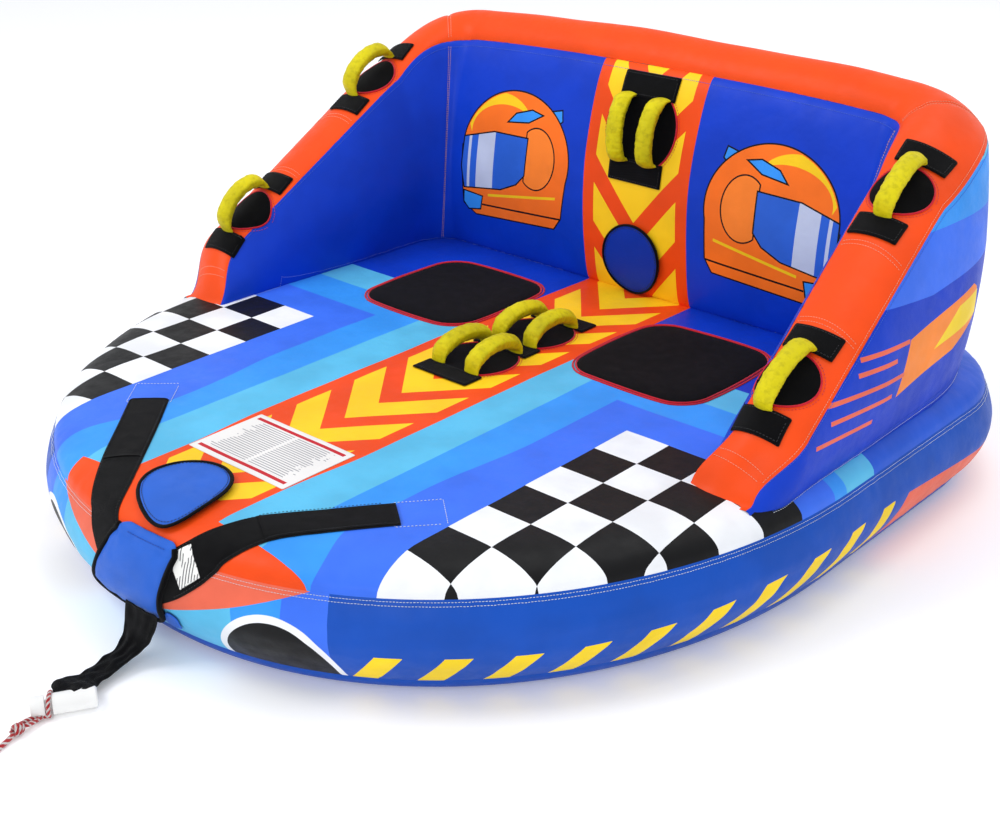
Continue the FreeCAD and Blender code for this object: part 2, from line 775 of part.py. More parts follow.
# The connector's frame: X runs from its slotted tail to its roped head, on its centre line.
connector_frame = Placement(CONNECTOR_TAIL + Vector(0, 0, size["connector_radius"]),
                            Rotation(Vector(0, 0, 1), connector_turn))
slot_reach = number("slot_start + slot_length / 2 + strap_aim")
slot_middle = connector_frame.multVec(Vector(slot_reach, 0, 0))
strap_run = Vector(slot_middle.x - STRAP_TOP.x, slot_middle.y - STRAP_TOP.y, 0)
strap_turn = math.degrees(math.atan2(strap_run.y, strap_run.x))
strap_end = "%f" % strap_run.Length
ramp_top = strap_end + " - 2 * connector_radius"
tow_strap = padded_body("tow_strap", "XZ_Plane", [
    ("0", "strap_hang"),
    ("strap_drop_reach", "strap_gap"),
    (ramp_top + " - strap_ramp", "strap_gap"),
    (ramp_top, "connector_radius - tow_strap_thick / 2"),
    (strap_end, "connector_radius - tow_strap_thick / 2"),
    (strap_end, "connector_radius + tow_strap_thick / 2"),
    (ramp_top + " - strap_bend", "connector_radius + tow_strap_thick / 2"),
    (ramp_top + " - strap_ramp - strap_bend", "strap_gap + tow_strap_thick"),
    ("strap_drop_reach + strap_bend", "strap_gap + tow_strap_thick"),
    ("tow_strap_thick", "strap_hang"),
], "tow_strap_wide", midplane=True)
tow_strap.Placement = Placement(STRAP_TOP, Rotation(Vector(0, 0, 1), strap_turn))
NODES.append(tow_strap)


# ---------------------------------------------------------------- quick connector
def quick_connector():
    """Moulded bar: a slot in one side for the strap, a groove round its head for the rope."""
    lying = connector_frame.multiply(Placement(Vector(0, 0, 0), Rotation(Vector(0, 1, 0), 90)))
    bar = cylinder("connector_bar", "connector_radius", "connector_length", lying)
    doc.recompute()
    soft = fillet("connector_rounded", bar, "connector_radius / 4", lambda b: True)
    groove_at = moved(lying, out=number("connector_length - groove_inset"))
    ring = cut("connector_ring", cylinder("groove_outer", "2 * connector_radius", "groove_wide",
                                          groove_at),
               cylinder("groove_inner", "groove_radius", "groove_wide", groove_at))
    grooved = cut("connector_grooved", soft, ring)
    slot = box("connector_slot", ("slot_start", "-2 * connector_radius", "-slot_tall / 2"),
               ("slot_length", "2 * connector_radius + slot_past_middle", "slot_tall"),
               connector_frame)
    return cut("quick_connector", grooved, slot)


NODES.append(quick_connector())


# ---------------------------------------------------------------- tow rope
def rounded_route(points):
    """Straight runs joined by tangent arcs, each arc as large as its two runs allow."""
    edges = []
    start = points[0]
    radii = []
    for before, corner, after in zip(points, points[1:], points[2:]):
        arrive = (corner - before).normalize()
        leave = (after - corner).normalize()
        half_turn = arrive.getAngle(leave) / 2
        setback = 0.45 * min((corner - before).Length, (after - corner).Length)
        radii.append(setback / math.tan(half_turn))
        first = corner - arrive * setback
        last = corner + leave * setback
        inward = (leave - arrive).normalize()
        centre = corner + inward * (radii[-1] / math.cos(half_turn))
        crown = centre - inward * radii[-1]
        edges.append(Part.LineSegment(start, first).toShape())
        edges.append(Part.Arc(first, crown, last).toShape())
        start = last
    edges.append(Part.LineSegment(start, points[-1]).toShape())
    print("arc radii", [round(radius) for radius in radii])
    return Part.Wire(edges)


def rope_tube(name, points, radius):
    """A round tube along a route, its volume checked against its section times its length."""
    path = rounded_route(points)
    start = path.Edges[0]
    direction = start.tangentAt(start.FirstParameter)
    section = Part.Wire(Part.Circle(points[0], direction, radius).toShape())
    solid = path.makePipeShell([section], True, True)
    expected = math.pi * radius ** 2 * path.Length
    print(name, "length", round(path.Length, 1), "volume ratio", round(solid.Volume / expected, 4))
    item = doc.addObject("Part::Feature", name)
    item.Shape = solid
    return label(item, name)


ROPE = size["rope_radius"]
groove_centre = number("connector_length - groove_inset + groove_wide / 2")
groove_frame = connector_frame.multiply(
    Placement(Vector(groove_centre, 0, 0), Rotation(Vector(0, 1, 0), 90)))
rope_ring = doc.addObject("Part::Torus", "rope_ring")
rope_ring.setExpression("Radius1", cell("groove_radius + rope_radius"))
rope_ring.setExpression("Radius2", cell("rope_radius"))
rope_ring.Placement = groove_frame

knot_middle = Vector(size["knot_across"], size["knot_along"], size["knot_radius"])
knot = doc.addObject("Part::Sphere", "tow_rope_knot")
knot.setExpression("Radius", cell("knot_radius"))
knot.Placement = Placement(knot_middle, Rotation())
NODES.append(label(knot, "tow_rope_knot"))


def rope_leg(name, turn):
    """One leg from the side of the groove's ring to the knot."""
    reach = size["groove_radius"] + size["rope_radius"] * 2 + size["leg_gap"]
    spot = Vector(groove_centre, reach * math.cos(math.radians(turn)),
                  reach * math.sin(math.radians(turn)))
    start = connector_frame.multVec(spot)
    run = knot_middle - start
    run_turn = Rotation(Vector(0, 0, 1), run)
    item = doc.addObject("Part::Cylinder", name)
    item.setExpression("Radius", cell("rope_radius"))
    item.Height = run.Length - size["knot_radius"] / 2
    item.Placement = Placement(start, run_turn)
    return label(item, name)


NODES.append(fuse("tow_rope_loop", [rope_ring, rope_leg("low_leg", -35), rope_leg("high_leg", 20)]))

# The rope runs from the knot over the floor into its coil, outside of its outer turn.
ROUTE = [
    Vector(75, -1103, 8),
    Vector(84, -1133, 4),
    Vector(91, -1172, 4),
    Vector(94, -1216, 4),
    Vector(103, -1256, 4),
    Vector(103, -1290, 4),
]
NODES.append(rope_tube("tow_rope", ROUTE, ROPE))

coil_place = Placement(Vector(size["coil_across"], size["coil_along"], 0), Rotation())
coil_block = cylinder("coil_block", "coil_outside", "coil_tall", coil_place)
coil_eye = cylinder("coil_eye", "coil_inside", "coil_tall", coil_place)
coil_ring = cut("coil_ring", coil_block, coil_eye)
doc.recompute()
NODES.append(fillet("tow_rope_coil", coil_ring, "coil_round",
                    lambda b: b.ZLength < 1 and b.XLength > 1))
end_knot = doc.addObject("Part::Sphere", "tow_rope_end_knot")
end_knot.setExpression("Radius", cell("knot_radius"))
end_knot.Placement = Placement(
    Vector(size["coil_across"] - size["coil_outside"] * 0.75, size["coil_along"],
           size["coil_tall"] + size["knot_radius"]), Rotation())
NODES.append(label(end_knot, "tow_rope_end_knot"))


# ---------------------------------------------------------------- care tag and closing zip
def care_tag():
    """Small cloth tag lying on the right harness leg, beside the tow patch."""
    frame = Placement(Vector(size["tag_across"], size["tag_along"],
                             size["deck_height"] + size["strap_thick"]),
                      Rotation(Vector(0, 0, 1), size["tag_turn"]))
    return box("care_tag", ("-tag_wide / 2", "-tag_long / 2", "0"),
               ("tag_wide", "tag_long", "label_thick"), frame)


NODES.append(care_tag())
NODES += [
    box("closing_zip", ("-zip_length / 2", "tube_length / 2", "zip_height - zip_wide / 2"),
        ("zip_length", "zip_tape", "zip_wide")),
    box("zip_slider", ("-zip_length / 2 + slider_inset", "tube_length / 2 + zip_tape + layer_gap",
                       "zip_height - slider_wide / 2"),
        ("slider_long", "slider_thick", "slider_wide")),
]
doc.recompute()

# ---------------------------------------------------------------- checks, then one STEP file per node
for item in doc.Objects:
    if "Invalid" in item.State or "Error" in item.State:
        raise SystemExit("failed: %s %s" % (item.Label, item.State))
for node in NODES:
    if node.Shape.isNull() or not node.Shape.isValid():
        raise SystemExit("bad shape: " + node.Label)
os.makedirs("parts", exist_ok=True)
for node in NODES:
    node.Shape.exportStep("parts/" + node.Label + ".step")
    print(node.Label, round(node.Shape.Volume), len(node.Shape.Solids))
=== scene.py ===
"""Looks of the two-rider towable tube: printed nylon covers, sewn fittings and the tow rope.

Metres, in the part's frame: +Z up, nose towards -Y, floor at Z = 0.
"""

import math

import bpy
from mathutils import Matrix, Vector, noise
from mathutils.bvhtree import BVHTree


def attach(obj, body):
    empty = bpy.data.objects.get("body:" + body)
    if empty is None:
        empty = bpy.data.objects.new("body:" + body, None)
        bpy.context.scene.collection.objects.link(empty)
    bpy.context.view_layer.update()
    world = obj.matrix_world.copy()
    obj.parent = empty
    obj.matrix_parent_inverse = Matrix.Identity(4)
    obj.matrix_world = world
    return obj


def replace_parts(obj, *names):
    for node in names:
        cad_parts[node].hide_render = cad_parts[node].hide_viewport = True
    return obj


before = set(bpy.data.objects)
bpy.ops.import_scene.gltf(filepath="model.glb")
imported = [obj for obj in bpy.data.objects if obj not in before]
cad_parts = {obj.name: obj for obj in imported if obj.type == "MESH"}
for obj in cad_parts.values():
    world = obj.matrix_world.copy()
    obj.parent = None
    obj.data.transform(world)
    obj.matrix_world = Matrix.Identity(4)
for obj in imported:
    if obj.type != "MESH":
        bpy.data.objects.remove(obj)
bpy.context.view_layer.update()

# ---------------------------------------------------------------- sizes that drive the covers
SQUARE = 0.092            # side of one printed check, the pitch that the whole print is laid out on
ROW_ZERO = -0.0437        # Y of the print's row zero
DECK = 0.24               # height of the deck
TOP_SEAM = 0.194          # height of the seam between deck and side wall
FLOOR_SEAM = 0.03         # height of the seam between side wall and floor panel
WALL = TOP_SEAM - FLOOR_SEAM
HALF_WIDTH = 0.788        # X of the top seam along the straight side
NOSE = -0.807             # Y of the top seam at the nose
REAR = 0.812              # Y of the top seam at the rear
REAR_RADIUS = 0.27        # radius of the top seam at the rear corners
WIDEST = 0.1              # Y where the nose curve meets the straight side
NOSE_POWER = 2.08         # squareness of the nose curve, where 2 is an ellipse
SHOULDER = 0.10           # width over which the deck rounds down to the top seam

TOE = -0.138              # Y where the arms meet the deck
TOE_SLOPE = math.tan(math.radians(58))
ARM_TILT = 32.15          # degrees that the arms' tops climb towards the back
ARM_SLOPE = math.tan(math.radians(ARM_TILT))
ARM_MARK = -0.025         # Y of a place on the arms' top line
ARM_MARK_RISE = 0.129     # its height above the deck
BACK_TILT = 83.5          # degrees that the backrest's front stands up from the deck
BACK_FOOT = 0.494         # Y where the backrest's front meets the deck
BACK_RISE = 0.552         # height of the back above the deck
BEND_START = 0.42         # Y where the arms' rails begin to turn
BEND_END = 0.52           # X where they have turned into the back
ARM_SHARE = 0.42          # station where the arm ends and the bend begins
BEND_SHARE = 0.62         # station where the bend ends


# ---------------------------------------------------------------- small helpers
def smooth(low, high, value):
    """0 before low, 1 after high, and an easy ramp between."""
    share = min(1.0, max(0.0, (value - low) / (high - low)))
    return share * share * (3 - 2 * share)


def mix(first, second, share):
    return first + (second - first) * share


def soft_min(first, second, width):
    """The lower of two numbers, rounded off where they are within a width of each other."""
    gap = max(width - abs(first - second), 0.0) / width
    return min(first, second) - gap * gap * width / 4


def ripple(place, scale):
    """Repeatable noise from -1 to 1."""
    return noise.noise(Vector(place) * scale)


def new_mesh(name, points, faces, material, body="tube"):
    """A piece made of points and faces, riding on a body."""
    mesh = bpy.data.meshes.new(name)
    mesh.from_pydata([tuple(p) for p in points], [], faces)
    mesh.validate()
    piece = bpy.data.objects.new(name, mesh)
    bpy.context.scene.collection.objects.link(piece)
    mesh.materials.append(material)
    mesh.shade_smooth()
    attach(piece, body)
    return piece


surface_points = []
surface_faces = []


def keep_surface(points, faces):
    """Adds a cover to the skin that the sewn-on pieces are laid on."""
    start = len(surface_points)
    surface_points.extend(Vector(point) for point in points)
    surface_faces.extend(tuple(start + place for place in face) for face in faces)


def grid_faces(rows, columns, closed=False):
    """Quads between rows of points; closed joins the last column to the first."""
    faces = []
    for row in range(rows - 1):
        for column in range(columns if closed else columns - 1):
            following = (column + 1) % columns
            faces.append((row * columns + column, row * columns + following,
                          (row + 1) * columns + following, (row + 1) * columns + column))
    return faces


def tube_faces(count, sides, closed):
    """Faces of a tube of so many rings: joined to its start, or capped at both ends."""
    faces = grid_faces(count, sides, closed=True)
    last = (count - 1) * sides
    if closed:
        return faces + [(last + step, last + (step + 1) % sides, (step + 1) % sides, step)
                        for step in range(sides)]
    return faces + [tuple(reversed(range(sides))), tuple(last + step for step in range(sides))]


# ---------------------------------------------------------------- node arithmetic for prints
def set_inputs(node, values):
    for socket, value in values.items():
        node.inputs[socket].default_value = value


class Ink:
    """A number worked out by a material's nodes, used with ordinary operators."""

    def __init__(self, tree, socket):
        self.tree = tree
        self.socket = socket

    def work(self, kind, *others):
        """One Math node fed with this number and with numbers or Inks."""
        node = self.tree.nodes.new("ShaderNodeMath")
        node.operation = kind
        for place, item in enumerate((self,) + others):
            if isinstance(item, Ink):
                self.tree.links.new(item.socket, node.inputs[place])
            else:
                node.inputs[place].default_value = item
        return Ink(self.tree, node.outputs[0])

    def ramp(self, low, high, start, end):
        """An easy ramp from start to end as the number goes from low to high."""
        node = self.tree.nodes.new("ShaderNodeMapRange")
        node.interpolation_type = "SMOOTHSTEP"
        self.tree.links.new(self.socket, node.inputs["Value"])
        set_inputs(node, {"From Min": low, "From Max": high, "To Min": start, "To Max": end})
        return Ink(self.tree, node.outputs[0])


def ink_method(kind):
    """A method of Ink that adds one Math node."""
    return lambda ink, *others: ink.work(kind, *others)


for title, kind in (("__add__", "ADD"), ("__sub__", "SUBTRACT"), ("__mul__", "MULTIPLY"),
                    ("__and__", "MULTIPLY"), ("__or__", "MAXIMUM"), ("__lt__", "LESS_THAN"),
                    ("__gt__", "GREATER_THAN"), ("size", "ABSOLUTE"), ("wrapped", "FLOORED_MODULO"),
                    ("floor", "FLOOR")):
    setattr(Ink, title, ink_method(kind))


def inside(across, along, corners, grow=0.0):
    """1 inside a convex polygon whose corners run anticlockwise, grown on every side."""
    answer = None
    for (x0, y0), (x1, y1) in zip(corners, corners[1:] + corners[:1]):
        long = math.hypot(x1 - x0, y1 - y0)
        side = (along - y0) * ((x1 - x0) / long) - (across - x0) * ((y1 - y0) / long)
        answer = side > -grow if answer is None else answer & (side > -grow)
    return answer


def oval(across, along, centre, half):
    """How far out a place is from an oval's centre: 1 on the oval, squared."""
    x = (across - centre[0]) * (1 / half[0])
    y = (along - centre[1]) * (1 / half[1])
    return x * x + y * y


def linear(red, green, blue):
    """Screen colour out of 255 as the linear colour a shader takes."""
    def one(value):
        value /= 255
        return value / 12.92 if value <= 0.04045 else ((value + 0.055) / 1.055) ** 2.4
    return one(red), one(green), one(blue), 1.0


ROYAL = linear(2, 58, 192)
DEEP = linear(10, 76, 178)
SHELF_BLUE = linear(34, 88, 206)
LIGHT_BLUE = linear(88, 184, 226)
SKY = linear(52, 148, 240)
PERIWINKLE = linear(58, 112, 236)
ORANGE = linear(238, 74, 12)
CORAL = linear(230, 104, 78)
AMBER = linear(250, 138, 44)
YELLOW = linear(252, 204, 26)
HAZARD = linear(250, 214, 26)
WHITE = linear(236, 238, 242)
BLACK = linear(7, 7, 9)
HELMET_ORANGE = linear(255, 116, 30)
HELMET_SIDE = linear(255, 132, 44)
VISOR_BLUE = linear(42, 98, 206)
VISOR_PALE = linear(196, 204, 226)


class Cloth:
    """A fabric material: a base colour, paint laid over it, weave and sheen."""

    def __init__(self, name, colour, roughness=0.5, weave=1400.0, bump=0.06, sheen=0.02, coat=0.0,
                 gloss=0.16, wrinkle=0.0):
        self.material = bpy.data.materials.new(name)
        self.material.use_nodes = True
        self.tree = self.material.node_tree
        self.shader = self.tree.nodes["Principled BSDF"]
        self.place = self.tree.nodes.new("ShaderNodeTexCoord").outputs["Object"]
        self.colour = self.tree.nodes.new("ShaderNodeRGB").outputs[0]
        self.colour.default_value = colour
        self.roughness = roughness
        set_inputs(self.shader, {"Sheen Weight": sheen, "Sheen Roughness": 0.4, "Coat Weight": coat,
                                 "Coat Roughness": 0.25, "Specular IOR Level": gloss})
        self.weave = weave
        self.bump = bump
        self.wrinkle = wrinkle

    def xyz(self):
        node = self.tree.nodes.new("ShaderNodeSeparateXYZ")
        self.tree.links.new(self.place, node.inputs[0])
        return [Ink(self.tree, socket) for socket in node.outputs]

    def attribute(self, name):
        node = self.tree.nodes.new("ShaderNodeAttribute")
        node.attribute_name = name
        return Ink(self.tree, node.outputs["Fac"])

    def noise(self, scale, detail=2.0):
        node = self.tree.nodes.new("ShaderNodeTexNoise")
        set_inputs(node, {"Scale": scale, "Detail": detail})
        self.tree.links.new(self.place, node.inputs["Vector"])
        return Ink(self.tree, node.outputs["Fac"])

    def paint(self, mask, colour):
        """Lays a colour where the mask is 1."""
        node = self.tree.nodes.new("ShaderNodeMix")
        node.data_type = "RGBA"
        self.tree.links.new(mask.socket, node.inputs["Factor"])
        self.tree.links.new(self.colour, node.inputs["A"])
        node.inputs["B"].default_value = colour
        self.colour = node.outputs["Result"]

    def finish(self, shade=0.10):
        """Adds cloudy shade to the paint, uneven gloss and the woven grain."""
        tree = self.tree
        cloud = self.noise(9.0, 3.0)
        tone = tree.nodes.new("ShaderNodeHueSaturation")
        tree.links.new(self.colour, tone.inputs["Color"])
        tree.links.new(cloud.ramp(0.3, 0.7, 1.0 - shade, 1.0 + shade * 0.5).socket, tone.inputs["Value"])
        tree.links.new(tone.outputs[0], self.shader.inputs["Base Color"])
        gloss = self.noise(40.0, 3.0).ramp(0.25, 0.75, self.roughness - 0.06, self.roughness + 0.08)
        tree.links.new(gloss.socket, self.shader.inputs["Roughness"])
        warp, weft = (self.thread(direction) for direction in ("X", "Y"))
        woven = (warp * weft) + self.noise(260.0, 2.0) * 0.6
        bump = self.bumped(woven, self.bump, 0.002)
        if self.wrinkle:
            crease = self.bumped(self.noise(16.0, 3.0) * self.noise(5.0, 1.0), self.wrinkle, 0.01)
            tree.links.new(bump.outputs[0], crease.inputs["Normal"])
            bump = crease
        tree.links.new(bump.outputs[0], self.shader.inputs["Normal"])
        return self.material

    def bumped(self, height, strength, distance):
        """A node that bends the light as if the surface rose and fell with the height."""
        node = self.tree.nodes.new("ShaderNodeBump")
        set_inputs(node, {"Strength": strength, "Distance": distance})
        self.tree.links.new(height.socket, node.inputs["Height"])
        return node

    def thread(self, direction):
        """Bands as wide as one thread of the weave."""
        node = self.tree.nodes.new("ShaderNodeTexWave")
        node.wave_type = "BANDS"
        node.bands_direction = direction
        set_inputs(node, {"Scale": self.weave, "Distortion": 0.6})
        self.tree.links.new(self.place, node.inputs["Vector"])
        return Ink(self.tree, node.outputs["Fac"])


def cover_cloth(name, colour):
    """Printed nylon of the inflated covers."""
    return Cloth(name, colour, coat=0.06, wrinkle=0.5)


def chevrons(across, along, first):
    """Arrow stripes pointing down their run, in checks, clipped to a strip about the middle line."""
    period, thick, slope, half = 1.58, 0.93, 1.17, 1.19
    return ((along - across * slope - first).wrapped(period) < thick) & (across < half)


# ---------------------------------------------------------------- printed cover materials
# The deck's print, in checks rearward from row zero and outwards from the middle line.
SHELF = 6.8               # row behind which the deck is plain, under the backrest
SHELF_EDGE = 7.3          # column outside which it is plain beside the arms
CHECKS_EDGE = 4.504       # column where the chequered sides begin
STRIPE_HALF = 1.5         # half width of the bright stripe down the middle
STRIPE_SHIFT = 0.014      # how far the stripe strays sideways, in metres
NOSE_ROW = -7.47          # row before which the nose is bright from side to side


def deck_print():
    cloth = cover_cloth("deck_print", ROYAL)
    x, y, _ = cloth.xyz()
    along = (y - ROW_ZERO) * (1 / SQUARE)
    across = (x * (1 / SQUARE)).size()
    ledge = along + (across > SHELF_EDGE) * 0.6
    stripe = ((x - y.ramp(0.0, 0.5, 0.0, STRIPE_SHIFT)) * (1 / SQUARE)).size()
    tilt = (along.ramp(-7.4, -6.0, 0.42, 0.0)) - along.ramp(-4.5, -1.5, 0.25, 0.0)
    cloth.paint((along > 2.3) & ((across > SHELF_EDGE) | (along > SHELF)), SHELF_BLUE)
    cloth.paint(ledge < 3, LIGHT_BLUE)
    cloth.paint((across > 2.52) & (ledge < 2), SKY)
    cloth.paint((across - tilt > 3.5) & (along < 1), PERIWINKLE)
    outer = (across - along.ramp(-7.2, -5.8, 0.16, 0.0) > CHECKS_EDGE) & (along < 0)
    cloth.paint(outer, WHITE)
    odd = (((across - CHECKS_EDGE).floor() + along.floor()).wrapped(2.0)) < 0.5
    cloth.paint(outer & odd, BLACK)
    cloth.paint((stripe < along.ramp(-6.0, -4.0, 1.38, STRIPE_HALF)) & (along < SHELF), ORANGE)
    cloth.paint((along < NOSE_ROW) & (across < 3.66) & (x > -0.245), ORANGE)
    cloth.paint(chevrons(stripe, along, -3.23) & (along > -7.0) & (along < SHELF), YELLOW)
    return cloth.finish()


def side_print():
    """The side wall: distance round from the nose is the attribute 'round', height is Z."""
    cloth = cover_cloth("side_print", DEEP)
    x, _, z = cloth.xyz()
    around = cloth.attribute("round")
    for edge, colour in ((0.381, PERIWINKLE), (0.306, SKY), (0.221, LIGHT_BLUE)):
        cloth.paint(around < edge, colour)
    reach = around + (x < 0) * 0.085
    cloth.paint((around < 0.35) & (z - reach * 0.354 > TOP_SEAM - 0.124), CORAL)
    for half, colour in (((0.110, 0.134), WHITE), ((0.099, 0.120), BLACK)):
        cloth.paint(oval(around, z, (0.287, 0.016), half) < 1, colour)
    stripe = (around - z * 0.69 - 0.382).wrapped(0.1065) < 0.043
    low = z < around.ramp(0.7, 1.4, 0.098, 0.13)
    cloth.paint(stripe & low & (around > 0.393) & (around < 1.47), HAZARD)
    cloth.paint((around - z * 0.86 > 1.412) & (z + around * 0.075 < 0.241), CORAL)
    return cloth.finish()


# The printed helmets, in shares of their width outwards and of their height upwards.
HELMET_FROM = (1.95, 0.95)
HELMET_SIZE = (3.42, 3.25)
HELMET_JAW = [(0.012, 0.52), (0.05, 0.14), (0.11, 0.05), (0.86, 0.0), (0.975, 0.07), (1.0, 0.52)]
HELMET_VISOR = [(0.40, 0.40), (0.47, 0.32), (0.62, 0.25), (0.97, 0.20), (1.0, 0.36), (0.985, 0.66),
                (0.80, 0.665), (0.60, 0.70), (0.39, 0.76)]
HELMET_GLINT = [(0.70, 0.2), (0.865, 0.2), (0.86, 0.8), (0.70, 0.8)]
HELMET_SLIVER = [(0.925, 0.2), (0.95, 0.2), (0.945, 0.8), (0.92, 0.8)]
HELMET_VENT = [(0.29, 0.865), (0.40, 0.80), (0.58, 0.775), (0.52, 0.84), (0.38, 0.885)]
HELMET_WING = [(0.105, 0.855), (0.16, 0.805), (0.22, 0.90), (0.12, 0.925)]
HELMET_MOUTH = [(0.80, 0.15), (0.82, 0.05), (0.93, 0.03), (0.975, 0.08), (0.97, 0.165)]
LINE = 0.011              # thickness of the dark lines


def outlined(cloth, shape, colour):
    """Paints a shape in a colour with a dark line round it; the shape takes how far to grow."""
    for grow, ink in ((LINE, BLACK), (0.0, colour)):
        cloth.paint(shape(grow), ink)


def paint_helmet(cloth, across, rise):
    """A plain full-face racing helmet facing outwards, drawn in flat colours with dark lines."""
    out = (across - HELMET_FROM[0]) * (1 / HELMET_SIZE[0])
    up = (rise - HELMET_FROM[1]) * (1 / HELMET_SIZE[1])
    crown = (0.50, 0.53)

    def polygon(corners):
        return lambda grow: inside(out, up, corners, grow)

    def shell(grow):
        dome = oval(out, up, crown, (0.492 + grow, 0.47 + grow)) < 1
        return dome | inside(out, up, HELMET_JAW, grow)

    def side_plate(grow):
        return (oval(out, up, (0.30, 0.54), (0.165 + grow, 0.225 + grow)) < 1) & (out < 0.395 + grow)

    outlined(cloth, polygon(HELMET_WING), SKY)
    outlined(cloth, shell, HELMET_ORANGE)
    brow = (oval(out, up, (0.66, 0.74), (0.30, 0.23)) < 1) & (oval(out, up, (0.60, 0.66), (0.33, 0.23)) > 1)
    cloth.paint(brow & (oval(out, up, crown, (0.485, 0.463)) < 1), YELLOW)
    sweep = (up + out * 0.17 - 0.30).size() < 0.010
    cloth.paint(sweep & (out > 0.10) & (out < 0.74), YELLOW)
    hem = (up + out * 0.06 - 0.135).size() < 0.007
    cloth.paint(hem & (out > 0.05) & (out < 0.80), BLACK)
    outlined(cloth, side_plate, HELMET_SIDE)
    outlined(cloth, polygon(HELMET_VISOR), VISOR_BLUE)
    visor = inside(out, up, HELMET_VISOR)
    for corners in (HELMET_GLINT, HELMET_SLIVER):
        cloth.paint(visor & inside(out, up, corners), VISOR_PALE)
    for corners in (HELMET_VENT, HELMET_MOUTH):
        outlined(cloth, polygon(corners), SKY)


def back_print():
    cloth = cover_cloth("back_print", ROYAL)
    x, _, z = cloth.xyz()
    across = (x * (1 / SQUARE)).size()
    stripe = ((x - z.ramp(DECK, DECK + 0.3, 0.014, 0.0)) * (1 / SQUARE)).size()
    rise = (z - DECK) * (1.01 / SQUARE)
    cloth.paint(stripe < 1.5, ORANGE)
    cloth.paint(chevrons(stripe, rise, 1.77), YELLOW)
    paint_helmet(cloth, across, rise)
    return cloth.finish()


# The arrow and lines on the arms, in checks rearward and up from the print's corner on the deck.
ARROW = [(3.14, 0.82), (5.45, 1.07), (6.51, 1.47), (6.45, 2.10), (6.22, 2.23), (3.56, 1.86)]
ARROW_HEAD = [(4.59, 1.34), (6.60, 1.50), (6.50, 2.04), (5.55, 1.96)]
SPEED_LINES = [(1.86, 3.52, 1.96), (1.74, 3.03, 1.70), (0.80, 3.36, 1.41), (0.83, 2.94, 1.07),
               (0.37, 2.30, 0.75)]      # start, end and height of each


def arm_wall_print():
    """Outside of the arms: slanted blue bands, an arrow and speed lines."""
    cloth = cover_cloth("arm_wall_print", ROYAL)
    _, y, z = cloth.xyz()
    along = (y - ROW_ZERO) * (1 / SQUARE)
    rise = (z - DECK) * (1 / SQUARE)
    cloth.paint(rise - (along - 4.4).size() * 0.08 > 2.50, PERIWINKLE)
    cloth.paint(rise > 3.68, SKY)
    cloth.paint(rise - (along - 4.6) * 0.09 > 4.39, LIGHT_BLUE)
    cloth.paint(inside(along, rise, ARROW), AMBER)
    cloth.paint(inside(along, rise, ARROW_HEAD), HAZARD)
    for start, end, height in SPEED_LINES:
        level = rise + (along - start) * 0.07 - height
        cloth.paint((level.size() < 0.045) & (along > start) & (along < end), CORAL)
    return cloth.finish()


# ---------------------------------------------------------------- base: rim, deck, side wall, floor
def rim_right(count):
    """The right half of the deck's seam from the nose to the rear, in close steps."""
    points = []
    depth = WIDEST - NOSE
    for step in range(count):
        turn = math.pi / 2 * step / count
        points.append((HALF_WIDTH * math.sin(turn) ** (2 / NOSE_POWER),
                       WIDEST - depth * math.cos(turn) ** (2 / NOSE_POWER)))
    points.append((HALF_WIDTH, WIDEST))
    points.append((HALF_WIDTH, REAR - REAR_RADIUS))
    for step in range(1, count + 1):
        turn = math.pi / 2 * step / count
        points.append((HALF_WIDTH - REAR_RADIUS + REAR_RADIUS * math.cos(turn),
                       REAR - REAR_RADIUS + REAR_RADIUS * math.sin(turn)))
    points.append((0.0, REAR))
    return points


def run_lengths(points):
    """Distance from the start to each of a run of points."""
    lengths = [0.0]
    for before, after in zip(points, points[1:]):
        lengths.append(lengths[-1] + math.dist(before, after))
    return lengths


def even_steps(points, count):
    """Places at equal distances along a run of points, each with its distance from the start."""
    lengths = run_lengths(points)
    answer = []
    place = 0
    for step in range(count):
        wanted = lengths[-1] * step / (count - 1)
        while place < len(points) - 2 and lengths[place + 1] < wanted:
            place += 1
        share = (wanted - lengths[place]) / max(lengths[place + 1] - lengths[place], 1e-9)
        here = tuple(mix(a, b, share) for a, b in zip(points[place], points[place + 1]))
        answer.append((here, wanted))
    return answer


rim = [(x, y, distance) for (x, y), distance in even_steps(rim_right(400), 330)]
rim += [(-x, y, distance) for x, y, distance in reversed(rim[1:-1])]


def rim_normal(place):
    """Level direction out of the rim."""
    before = Vector(rim[place - 1][:2])
    after = Vector(rim[(place + 1) % len(rim)][:2])
    run = (after - before).normalized()
    return Vector((run.y, -run.x))


rim_out = [rim_normal(place) for place in range(len(rim))]


def ring(away, height):
    """The rim moved outwards by some distance, at a height."""
    return [(x + out.x * away, y + out.y * away, height) for (x, y, _), out in zip(rim, rim_out)]


def shoulder_rise(width):
    """How far the deck has risen above the top seam at a distance inside it."""
    share = min(1.0, max(0.0, width / SHOULDER))
    return (DECK - TOP_SEAM) * math.sqrt(1 - (1 - share) ** 2)


def deck_wave(x, y):
    """The deck is never quite flat."""
    return 0.0012 * ripple((x, y, 3.0), 9.0)


